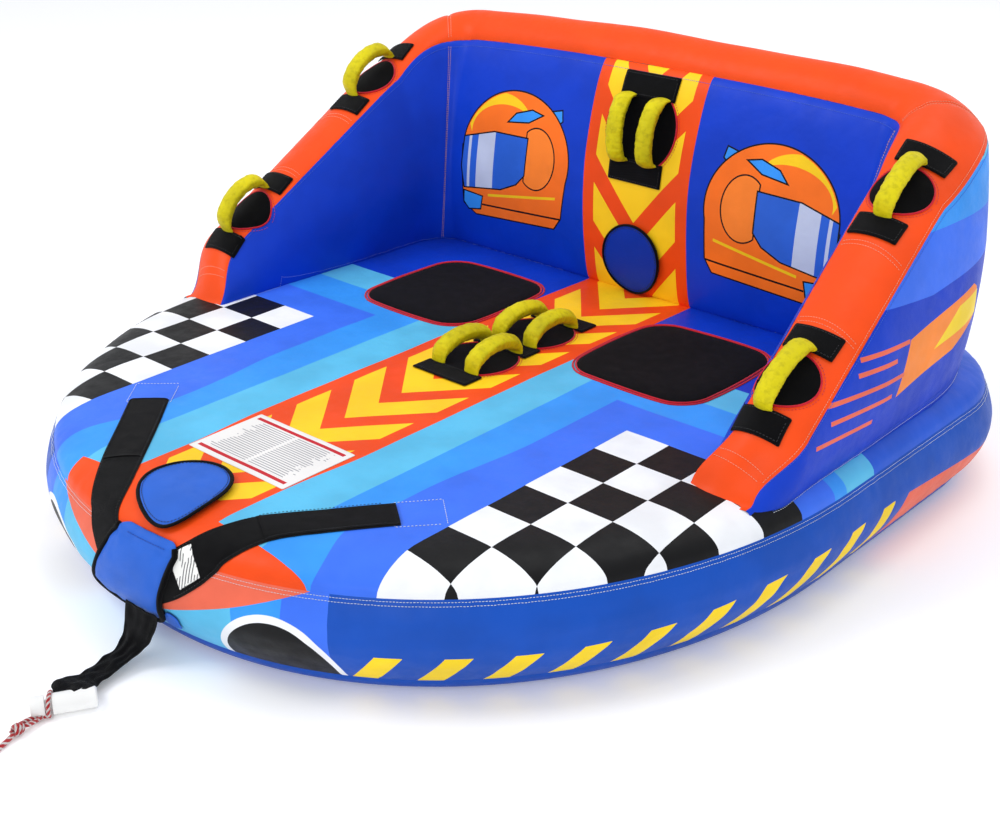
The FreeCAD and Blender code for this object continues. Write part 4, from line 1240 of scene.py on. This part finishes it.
def curve_between(points, count):
    """Smooth places through a short list of points."""
    padded = [points[0] * 2 - points[1]] + list(points) + [points[-1] * 2 - points[-2]]
    answer = []
    spans = len(points) - 1
    for step in range(count):
        wanted = spans * step / (count - 1)
        span = min(int(wanted), spans - 1)
        t = wanted - span
        a, b, c, d = padded[span:span + 4]
        answer.append(0.5 * ((b * 2) + (c - a) * t + (a * 2 - b * 5 + c * 4 - d) * t * t
                             + (b * 3 - a - c * 3 + d) * t * t * t))
    return answer


# The harness straps' middle lines from their boxes on the deck over the nose, and how each place faces.
LEFT_STRAP = [(-0.328, -0.529, 0.24), (-0.250, -0.612, 0.24), (-0.180, -0.690, 0.24), (-0.118, -0.760, 0.225),
              (-0.082, -0.800, 0.190), (-0.045, -0.822, 0.155), (-0.010, -0.835, 0.125)]
RIGHT_STRAP = [(0.328, -0.529, 0.24), (0.262, -0.615, 0.24), (0.205, -0.690, 0.24), (0.170, -0.758, 0.230),
               (0.140, -0.803, 0.200), (0.098, -0.828, 0.165), (0.045, -0.840, 0.135)]
STRAP_FACING = [(0, 0, 1), (0, 0, 1), (0, 0, 1), (0.10, -0.45, 1), (0.14, -0.85, 0.7), (0.08, -1, 0.35),
                (0.0, -1, 0.2)]
STRAP_STEPS = 70
STRAP_HALF = 0.037
LAYER_STEPS = 26          # steps over which a second layer of webbing is sewn on
LAYER_HALF = 0.0345
SKIN_REACH = 0.09         # from how far out a strap is dropped onto the covers
SKIN_DEPTH = 0.2


def strap_thread(centres, outs, edge):
    """Places along one edge of a harness strap where its stitching shows, each facing as the strap does."""
    lines, normals = [], []
    for index in range(2, 60):
        along = (centres[index + 1] - centres[index - 1]).normalized()
        across = along.cross(outs[index]).normalized()
        hit, _ = strike(centres[index] + across * edge * 0.033 + outs[index] * SKIN_REACH, outs[index],
                        SKIN_DEPTH)
        if hit is not None:
            lines.append(hit + outs[index] * (0.0058 if index < LAYER_STEPS - 1 else 0.0036))
            normals.append(outs[index])
    return lines, normals


def make_harness():
    """Wide straps sewn to the deck that run over the nose under the tow patch."""
    for side, sign, run in (("left", -1, LEFT_STRAP), ("right", 1, RIGHT_STRAP)):
        name = "harness_" + side
        facing = [Vector((sign * x, y, z)) for x, y, z in STRAP_FACING]
        centres = curve_between([Vector(point) for point in run], STRAP_STEPS)
        outs = [out.normalized() for out in curve_between(facing, STRAP_STEPS)]
        strap = ribbon(name + "_webbing", centres, outs, [STRAP_HALF] * STRAP_STEPS, 0.0022, on_skin=True,
                       lift=0.0010)
        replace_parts(strap, "harness_strap_" + side)
        ribbon(name + "_layer", centres[:LAYER_STEPS], outs[:LAYER_STEPS], [LAYER_HALF] * LAYER_STEPS, 0.0024,
               on_skin=True, lift=0.0030, folds=0.0006)
        for place, edge in (("inner", -1), ("outer", 1)):
            stitches("%s_thread_%s" % (name, place), *strap_thread(centres, outs, edge), dark_thread)
        end = deck_frame(sign * RIGHT_STRAP[0][0], RIGHT_STRAP[0][1]).turned(-sign * 40.8)
        box = rounded_rectangle(0.041, 0.042, 0.004, side_steps=18)
        stitch_outline(name + "_box_thread", end, box, 0.0004, white_thread, centre=(0.0, 0.034))


def rounded_polygon(corners, radius, steps):
    """Outline through corners rounded by a radius, going anticlockwise, with many points on its sides."""
    points = []
    corners = list(reversed([Vector(corner) for corner in corners]))
    count = len(corners)
    for place, corner in enumerate(corners):
        before, after = corners[place - 1], corners[(place + 1) % count]
        start = corner + (before - corner).normalized() * radius
        end = corner + (after - corner).normalized() * radius
        for step in range(steps + 1):
            share = step / steps
            points.append(start.lerp(corner, share).lerp(corner.lerp(end, share), share))
        following = after + (corner - after).normalized() * radius
        for step in range(1, steps):
            points.append(end.lerp(following, step / steps))
    return [(point.x, point.y) for point in points]


# Corners of the tow patch across and up, from its top left clockwise, and of the tail below it.
TOW_PATCH = [(-0.032, 0.214), (0.112, 0.214), (0.074, 0.066), (-0.110, 0.077)]
TOW_PATCH_MIDDLE = (0.008, 0.142)
TOW_TAIL = [(0.066, 0.072), (0.094, 0.100), (0.112, 0.092), (0.104, 0.060), (0.080, 0.056)]
TOW_TAIL_MIDDLE = (0.092, 0.076)


def about(outline, centre):
    """An outline moved so that the centre is its zero."""
    return [(x - centre[0], y - centre[1]) for x, y in outline]


def make_tow_patch():
    """Padded blue patch over the nose, bound in black and gathered along its top."""
    where = Frame((0, NOSE - 0.02, 0.0), 90, reach=0.08)
    middle, top = TOW_PATCH_MIDDLE, TOW_PATCH[0][1]
    outline = about(rounded_polygon(TOW_PATCH, 0.026, 14), middle)
    patch = plate("tow_patch_pad", where, outline, 0.0095, deck_flap_cloth, lift=0.0042,
                  flat=5.0, centre=middle, rings=16, crease=0.0030)
    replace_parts(patch, "tow_patch")
    gathered = top - middle[1] - 0.006
    start = next(place for place in range(len(outline))
                 if outline[place - 1][1] > gathered >= outline[place][1])
    turned = outline[start:] + outline[:start]
    bound = [where.on_skin(middle[0] + x, middle[1] + y, 0.0072) for x, y in turned if y <= gathered]
    tube("tow_patch_binding", bound, 0.0052, webbing_material)
    steps = 60
    hem = [where.on_skin(mix(0.092, -0.012, step / steps), top - 0.010, 0.0118) for step in range(steps + 1)]
    stitches("tow_patch_gather_thread", hem, [where.out] * len(hem), blue_thread)
    tail = about(rounded_polygon(TOW_TAIL, 0.008, 6), TOW_TAIL_MIDDLE)
    plate("tow_patch_under_layer", where, tail, 0.0022, deck_flap_cloth, lift=0.0030,
          centre=TOW_TAIL_MIDDLE, rings=6)


# Middle line of the tow strap from under the patch to the connector's slot, and how each place faces.
TOW_STRAP = [(0.040, -0.834, 0.088), (0.042, -0.847, 0.052), (0.040, -0.868, 0.027), (0.042, -0.904, 0.018),
             (0.046, -0.938, 0.014), (0.054, -0.964, 0.020), (0.063, -0.985, 0.030), (0.0776, -1.0045, 0.028)]
TOW_FACING = [(0, -1, 0.15), (0, -1, 0.3), (0, -0.8, 1), (0, -0.2, 1), (0, 0, 1), (0, 0.1, 1), (0.05, 0.1, 1),
              (0.1, 0, 1)]


def make_tow_strap():
    """Webbing that leaves the patch wide, narrows, turns and flares into the connector's slot."""
    count = 60
    centres = curve_between([Vector(point) for point in TOW_STRAP], count)
    outs = [out.normalized() for out in curve_between([Vector(way) for way in TOW_FACING], count)]
    sides, wides = [], []
    for step in range(count):
        share = step / (count - 1)
        sides.append(mix(Vector((-1, 0, 0)), Vector((-0.80, -0.60, 0)), smooth(0.55, 0.95, share)))
        wides.append(mix(0.042, 0.023, smooth(0.03, 0.36, share)) + 0.013 * smooth(0.62, 0.86, share)
                     - 0.010 * smooth(0.88, 1.0, share))
    strap = ribbon("tow_strap_webbing", centres, outs, wides, 0.0030, body="tow_strap", columns=21,
                   folds=0.0045, sides=sides)
    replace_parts(strap, "tow_strap")


def make_care_tag():
    """White tag with faint ruled lines, sewn to the right strap beside the tow patch."""
    cloth = Cloth("tag_print", linear(236, 236, 232), roughness=0.5, weave=1800.0, bump=0.1, sheen=0.0)
    x, y, _ = cloth.xyz()
    run = x * 0.87 + y * 0.3
    cloth.paint((run.wrapped(0.0052) < 0.0018) & (cloth.noise(60.0, 0.0) > 0.42), linear(90, 90, 96))
    out = Vector((0.14, -0.85, 0.75)).normalized()
    across = Vector((0.86, 0.10, 0.42)).cross(out).cross(out).normalized() * -1
    where = Frame((0.128, -0.806, 0.190), 0).faced(across, out.cross(across), out)
    outline = rounded_rectangle(0.023, 0.028, 0.0015, side_steps=8)
    tag = plate("care_tag_cloth", where.turned(20.0), outline, 0.0010, cloth.finish(0.05),
                lift=0.0038, flat=30.0, rings=7, crease=0.0008)
    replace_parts(tag, "care_tag")


# ---------------------------------------------------------------- rope
ROPE_ROUTE = [(0.075, -1.103, 0.008), (0.084, -1.133, 0.004), (0.091, -1.172, 0.004), (0.094, -1.216, 0.004),
              (0.103, -1.256, 0.004), (0.103, -1.290, 0.004)]
COIL_CENTRE = (-0.005, -1.294)
COIL_INNER = 0.062
COIL_OUTER = 0.108
COIL_LAYERS = 6
COIL_TOP = 0.0455         # height of the rope's middle in the top layer
COIL_END = (0.084, 0.060)                 # radius and height where the last turn meets its knot
LAYER_TURNS = 6
LAST_TURNS = 3.5
LAYER_PITCH = 0.0083
TURN_POINTS = 12
ROPE_WIDE = 0.008


def coil_points():
    """Control points of the coil's turns: out to in, then in to out, a layer at a time."""
    points = []
    step = 1
    gaps = LAYER_TURNS - 1
    spread = (COIL_OUTER - COIL_INNER) / gaps
    pull = math.cos(math.pi / TURN_POINTS)
    for layer in range(COIL_LAYERS):
        turns = LAYER_TURNS if layer < COIL_LAYERS - 1 else LAST_TURNS
        for place in range(int(turns * TURN_POINTS)):
            share = min(place / TURN_POINTS, gaps)
            radius = COIL_OUTER - spread * share if layer % 2 == 0 else COIL_INNER + spread * share
            turn = -2 * math.pi * step / TURN_POINTS
            rise = smooth(5.2 * TURN_POINTS, 6.0 * TURN_POINTS, place)
            height = min(ROPE_WIDE / 2 + LAYER_PITCH * (layer + rise), COIL_TOP)
            if layer == COIL_LAYERS - 1:
                leave = smooth(2.5 * TURN_POINTS, 3.45 * TURN_POINTS, place)
                radius, height = mix(radius, COIL_END[0] * pull, leave), mix(height, COIL_END[1], leave)
            wander = 0.0008 * ripple((step * 0.37, layer, 0.0), 1.0)
            points.append((COIL_CENTRE[0] + (radius + wander) / pull * math.cos(turn),
                           COIL_CENTRE[1] + (radius + wander) / pull * math.sin(turn), height))
            step += 1
    return points


def spline_points(name, controls, resolution):
    """Points along the smooth NURBS line that a list of control points steers."""
    data = bpy.data.curves.new(name, "CURVE")
    data.dimensions = "3D"
    data.resolution_u = resolution
    line = data.splines.new("NURBS")
    line.points.add(len(controls) - 1)
    for point, place in zip(line.points, controls):
        point.co = (*place, 1.0)
    line.order_u = 3
    line.use_endpoint_u = True
    guide = bpy.data.objects.new(name, data)
    mesh = bpy.data.meshes.new_from_object(guide)
    points = [vertex.co.copy() for vertex in mesh.vertices]
    bpy.data.objects.remove(guide)
    bpy.data.curves.remove(data)
    bpy.data.meshes.remove(mesh)
    return points


def laid_rope(name, points, radius, sides=10, pitch=0.026):
    """Three-strand rope; the attribute 'strand' says which strand a point is on."""
    count = len(points)
    vertices, strands = [], []
    across = Vector((0, 0, 1))
    gone = 0.0
    for place, centre in enumerate(points):
        before, after = points[max(place - 1, 0)], points[min(place + 1, count - 1)]
        run = (after - before).normalized()
        across = (across - run * across.dot(run)).normalized()
        side = run.cross(across)
        gone += (centre - before).length
        for step in range(sides):
            turn = 2 * math.pi * step / sides
            phase = 3 * (turn - 2 * math.pi * gone / pitch)
            reach = radius * (0.93 + 0.10 * abs(math.cos(phase / 2)))
            vertices.append(centre + (across * math.cos(turn) + side * math.sin(turn)) * reach)
            strands.append(0.5 + 0.5 * math.cos(phase / 3 * 2))
    piece = new_mesh(name, vertices, tube_faces(count, sides, False), rope_material, "connector")
    store(piece, "strand", strands)
    return piece


def rope_cloth():
    """Red rope with a white tracer strand."""
    cloth = Cloth("rope_fibre", linear(196, 24, 34), roughness=0.6, weave=900.0, bump=0.6, sheen=0.4)
    cloth.paint(cloth.attribute("strand") > 0.62, linear(232, 226, 224))
    return cloth.finish(0.15)


def make_knot(name, node, centre, run):
    """Overhand knot: the rope wound three times round itself."""
    centre, run = Vector(centre), Vector(run).normalized()
    side = run.cross(Vector((0, 0, 1))).normalized()
    up = side.cross(run)
    steps = 39
    controls = []
    for step in range(steps + 1):
        turn = 2 * math.pi * 3 * step / steps
        along = 0.017 * (step / steps - 0.5)
        reach = 0.0068 * math.sin(math.pi * (step + 2) / (steps + 4)) ** 0.3
        place = centre + run * along + side * reach * math.cos(turn) + up * reach * math.sin(turn)
        controls.append(tuple(place))
    knot = laid_rope(name, spline_points(name + "_guide", controls, 4), 0.0036, sides=8, pitch=0.02)
    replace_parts(knot, node)
    return knot


def make_rope_loop():
    """Loop of rope round the connector, drawn into the knot."""
    tail, tip = Vector((0.099, -0.969, 0.017)), Vector((0.047, -1.057, 0.017))
    axis = (tip - tail).normalized()
    side = axis.cross(Vector((0, 0, 1))).normalized()
    seat = tip - axis * 0.031
    knot = Vector((0.070, -1.089, 0.011))
    neck = knot.lerp(seat, 0.35)
    controls = [knot + Vector((0.002, 0.0, 0.002)), neck + Vector((0.010, -0.004, -0.004))]
    for step in range(11):
        turn = math.pi * (-0.80 + 1.60 * step / 10)
        round_it = side * (-0.0205 * math.sin(turn)) + Vector((0, 0, 1)) * (0.0195 * math.cos(turn))
        controls.append(seat + round_it + axis * 0.004 * math.sin(turn))
    controls += [neck + Vector((-0.010, 0.002, -0.004)), knot + Vector((-0.003, 0.001, 0.002))]
    controls = [(x, y, max(z, 0.0042)) for x, y, z in controls]
    loop = laid_rope("rope_loop", spline_points("rope_loop_guide", controls, 10), 0.0034, pitch=0.018)
    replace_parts(loop, "tow_rope_loop")
    return loop


def make_rope():
    """The tow rope: loop and knot at the connector, a short run, the coil and its end knot."""
    points = spline_points("tow_rope_guide", ROPE_ROUTE + coil_points(), 10)
    rope = laid_rope("tow_rope_laid", points, ROPE_WIDE / 2)
    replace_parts(rope, "tow_rope", "tow_rope_coil")
    pieces = [make_rope_loop(),
              make_knot("rope_knot", "tow_rope_knot", (0.072, -1.095, 0.0112), (0.2, -1, 0)),
              make_knot("rope_end_knot", "tow_rope_end_knot", (-0.089, -1.294, 0.061), (0, 1, 0.1))]
    print("rope length", round(run_lengths(points)[-1], 2))


# ---------------------------------------------------------------- zip, hard parts, air chambers, seams
def make_zip():
    """The closing zip, low across the rear."""
    where = Frame((0, REAR + 0.02, 0.12), 0).faced(Vector((-1, 0, 0)), Vector((0, 0, 1)), Vector((0, 1, 0)))
    tape = plate("zip_tape", where, rounded_rectangle(0.450, 0.017, 0.003, side_steps=90), 0.0016,
                 webbing_material, lift=0.0008, flat=30.0, rings=4)
    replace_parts(tape, "closing_zip")
    for title, height in (("low", -0.0022), ("high", 0.0022)):
        line = [where.on_skin(0.436 - 0.004 * step, height, 0.0026) for step in range(219)]
        stitches("zip_teeth_" + title, line, [where.out] * 219, plastic_material, slot="zip", pitch=0.0035,
                 long=0.0022, thick=0.0014)


def finish_hard_parts():
    """Gives the moulded CAD parts their plastics."""
    for name in ("quick_connector", "deck_valve_body", "deck_valve_cap", "back_valve_body", "back_valve_cap",
                 "zip_slider"):
        piece = bpy.data.objects[name]
        piece.data.materials.clear()
        piece.data.materials.append(connector_material if name == "quick_connector" else plastic_material)


def make_chamber(name, loops, node):
    """A closed skin of bladder film through loops of equal length, its two ends filled by fans."""
    count = len(loops[0])
    points = [Vector(point) for loop in loops for point in loop]
    faces = grid_faces(len(loops), count, closed=True)
    for start, flip in ((0, True), ((len(loops) - 1) * count, False)):
        hub = len(points)
        points.append(sum(points[start:start + count], Vector()) / count)
        for place in range(count):
            face = (start + place, start + (place + 1) % count, hub)
            faces.append(tuple(reversed(face)) if flip else face)
    piece = new_mesh(name + "_chamber", points, faces, bladder_material)
    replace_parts(piece, node)


CHAMBER_GAP = 0.012       # between the covers and the air chambers
ARM_CHAMBERS = [("right_arm", "arm_bladder_right", 0.05, 0.40), ("back", "back_bladder", 0.43, 1.57),
                ("left_arm", "arm_bladder_left", 1.60, 1.95)]        # with first and last station
CHAMBER_SECTION = [(inner_wall, (0.04, 0.2, 0.4, 0.6, 0.8, 0.97)), (band, (0.15, 0.35, 0.5, 0.65, 0.85)),
                   (outer_wall, (0.03, 0.2, 0.4, 0.6, 0.8, 0.96))]


def make_bladders():
    """The air chambers under the covers, a little inside them all round."""
    loops = [ring(-width, TOP_SEAM + shoulder_rise(width) - CHAMBER_GAP)
             for width in (0.30, 0.14, SHOULDER, 0.075, 0.050, 0.030, 0.018)]
    loops += [ring(side_out(share) - CHAMBER_GAP, TOP_SEAM - WALL * share)
              for share in (0.1, 0.25, 0.4, 0.55, 0.7, 0.85, 0.97)]
    loops += [ring(stand, height) for stand, height in ((-0.06, 0.016), (-0.10, 0.012), (-0.30, 0.012))]
    make_chamber("base", loops, "base_bladder")
    for title, node, first, last in ARM_CHAMBERS:
        loops = []
        for step in range(41):
            station = mix(first, last, step / 40)
            loop = [surface(station, share) for surface, shares in CHAMBER_SECTION for share in shares]
            middle = sum(loop, Vector()) / len(loop)
            loops.append([point + (middle - point).normalized() * CHAMBER_GAP for point in loop])
        make_chamber(title, loops, node)


def seam_row(name, row, thread):
    """Thread stitches over points given with their outward directions, each dropped onto the covers."""
    points = []
    for point, out in row:
        hit, _ = strike(point + out * 0.03, out, 0.06)
        points.append((point if hit is None else hit) + out * 0.0004)
    stitches(name, points, [out for _, out in row], thread, slot="cover_fabric", pitch=0.0052, long=0.0043,
             thick=0.0005)


def cross_seam(name, station, steps, ends):
    """Pale thread across the bright band at a station, keeping off its edges."""
    row = [(band(station, step / steps), Vector((0, 0, 1))) for step in range(ends, steps + 1 - ends)]
    seam_row(name, row, pale_thread)


def make_cover_seams():
    """Twin rows of thread along the covers' seams."""
    for title, share in (("high", 0.022), ("low", 0.056)):
        loop = ring(side_out(share) + 0.0006, TOP_SEAM - WALL * share)
        row = [(Vector(place), Vector((out.x, out.y, 0.2)).normalized()) for place, out in zip(loop, rim_out)]
        seam_row("top_seam_thread_" + title, row + row[:1], white_thread)
    stations = [0.03 + 1.94 * step / 420 for step in range(421)]
    for title, surface, share, thread in (
            ("inner_edge", inner_wall, 0.975, royal_thread), ("outer_edge", outer_wall, 0.020, royal_thread),
            ("outer_foot", outer_wall, 0.965, white_thread),
            ("outer_foot_low", outer_wall, 0.935, royal_thread), ("band_outer", band, 0.965, pale_thread)):
        outward = -1 if surface is inner_wall else 1
        row = [(surface(station, share), level_out(station) * outward) for station in stations]
        seam_row("backrest_thread_" + title, row, thread)
    foot = [(base_in(station) - level_out(station) * 0.004 + Vector((0, 0, 0.002)), Vector((0, 0, 1)))
            for station in stations]
    for title, part in (("right", foot[:180]), ("left", foot[241:])):
        seam_row("backrest_thread_inner_foot_" + title, part, pale_blue_thread)
    for along in (0.279, 0.129, -0.095):
        for side in (-1, 1):
            for offset in (-0.004, 0.004):
                station = (along + offset - TOE) / (BEND_START - TOE) * ARM_SHARE
                name = "band_cross_thread_%d_%d_%d" % (along * 1000, side, offset * 1000)
                cross_seam(name, station if side > 0 else 2 - station, 60, 2)
    for side in (0, 1):
        for offset in (-0.0035, 0.0035):
            station = 2 - (MITRE + offset) if side else MITRE + offset
            ending = "_thread_%d_%d" % (side, offset * 10000)
            cross_seam("mitre" + ending, station, 60, 1)
            row = [(inner_wall(station, step / 90), -level_out(station)) for step in range(1, 90)]
            seam_row("corner" + ending, row, pale_thread)


# ---------------------------------------------------------------- the object
make_camera()
rope_material = rope_cloth()
make_rope()
make_stage()
make_deck()
make_side()
make_bottom()
make_backrest()
skin = BVHTree.FromPolygons(surface_points, surface_faces)

webbing_material = webbing_cloth()
neoprene_material = neoprene_cloth()
grip_material = grip_cloth()
deck_flap_cloth = plain_cloth("deck_flap_nylon", linear(40, 98, 202))
back_flap_cloth = plain_cloth("back_flap_nylon", linear(8, 50, 164))
plastic_material = plastic("valve_plastic", linear(24, 24, 28))
connector_material = plastic("connector_plastic", linear(238, 238, 236), roughness=0.3)
bladder_material = plain_cloth("bladder_film", linear(206, 212, 216), roughness=0.35)
red_piping = thread_material("red_piping", linear(206, 22, 44))
red_thread = thread_material("red_thread", linear(214, 60, 70))
dark_thread = thread_material("black_thread", linear(40, 40, 44))
white_thread = thread_material("white_thread", linear(226, 232, 240))
pale_thread = thread_material("pale_thread", linear(240, 176, 150))
royal_thread = thread_material("blue_thread", linear(70, 110, 214))
pale_blue_thread = thread_material("pale_blue_thread", linear(140, 164, 226))
blue_thread = thread_material("patch_thread", linear(22, 50, 150))

make_seat_pads()
make_label()
make_valves()
sew_handles()
make_harness()
make_tow_patch()
make_tow_strap()
make_care_tag()
make_zip()
finish_hard_parts()
make_bladders()
make_cover_seams()
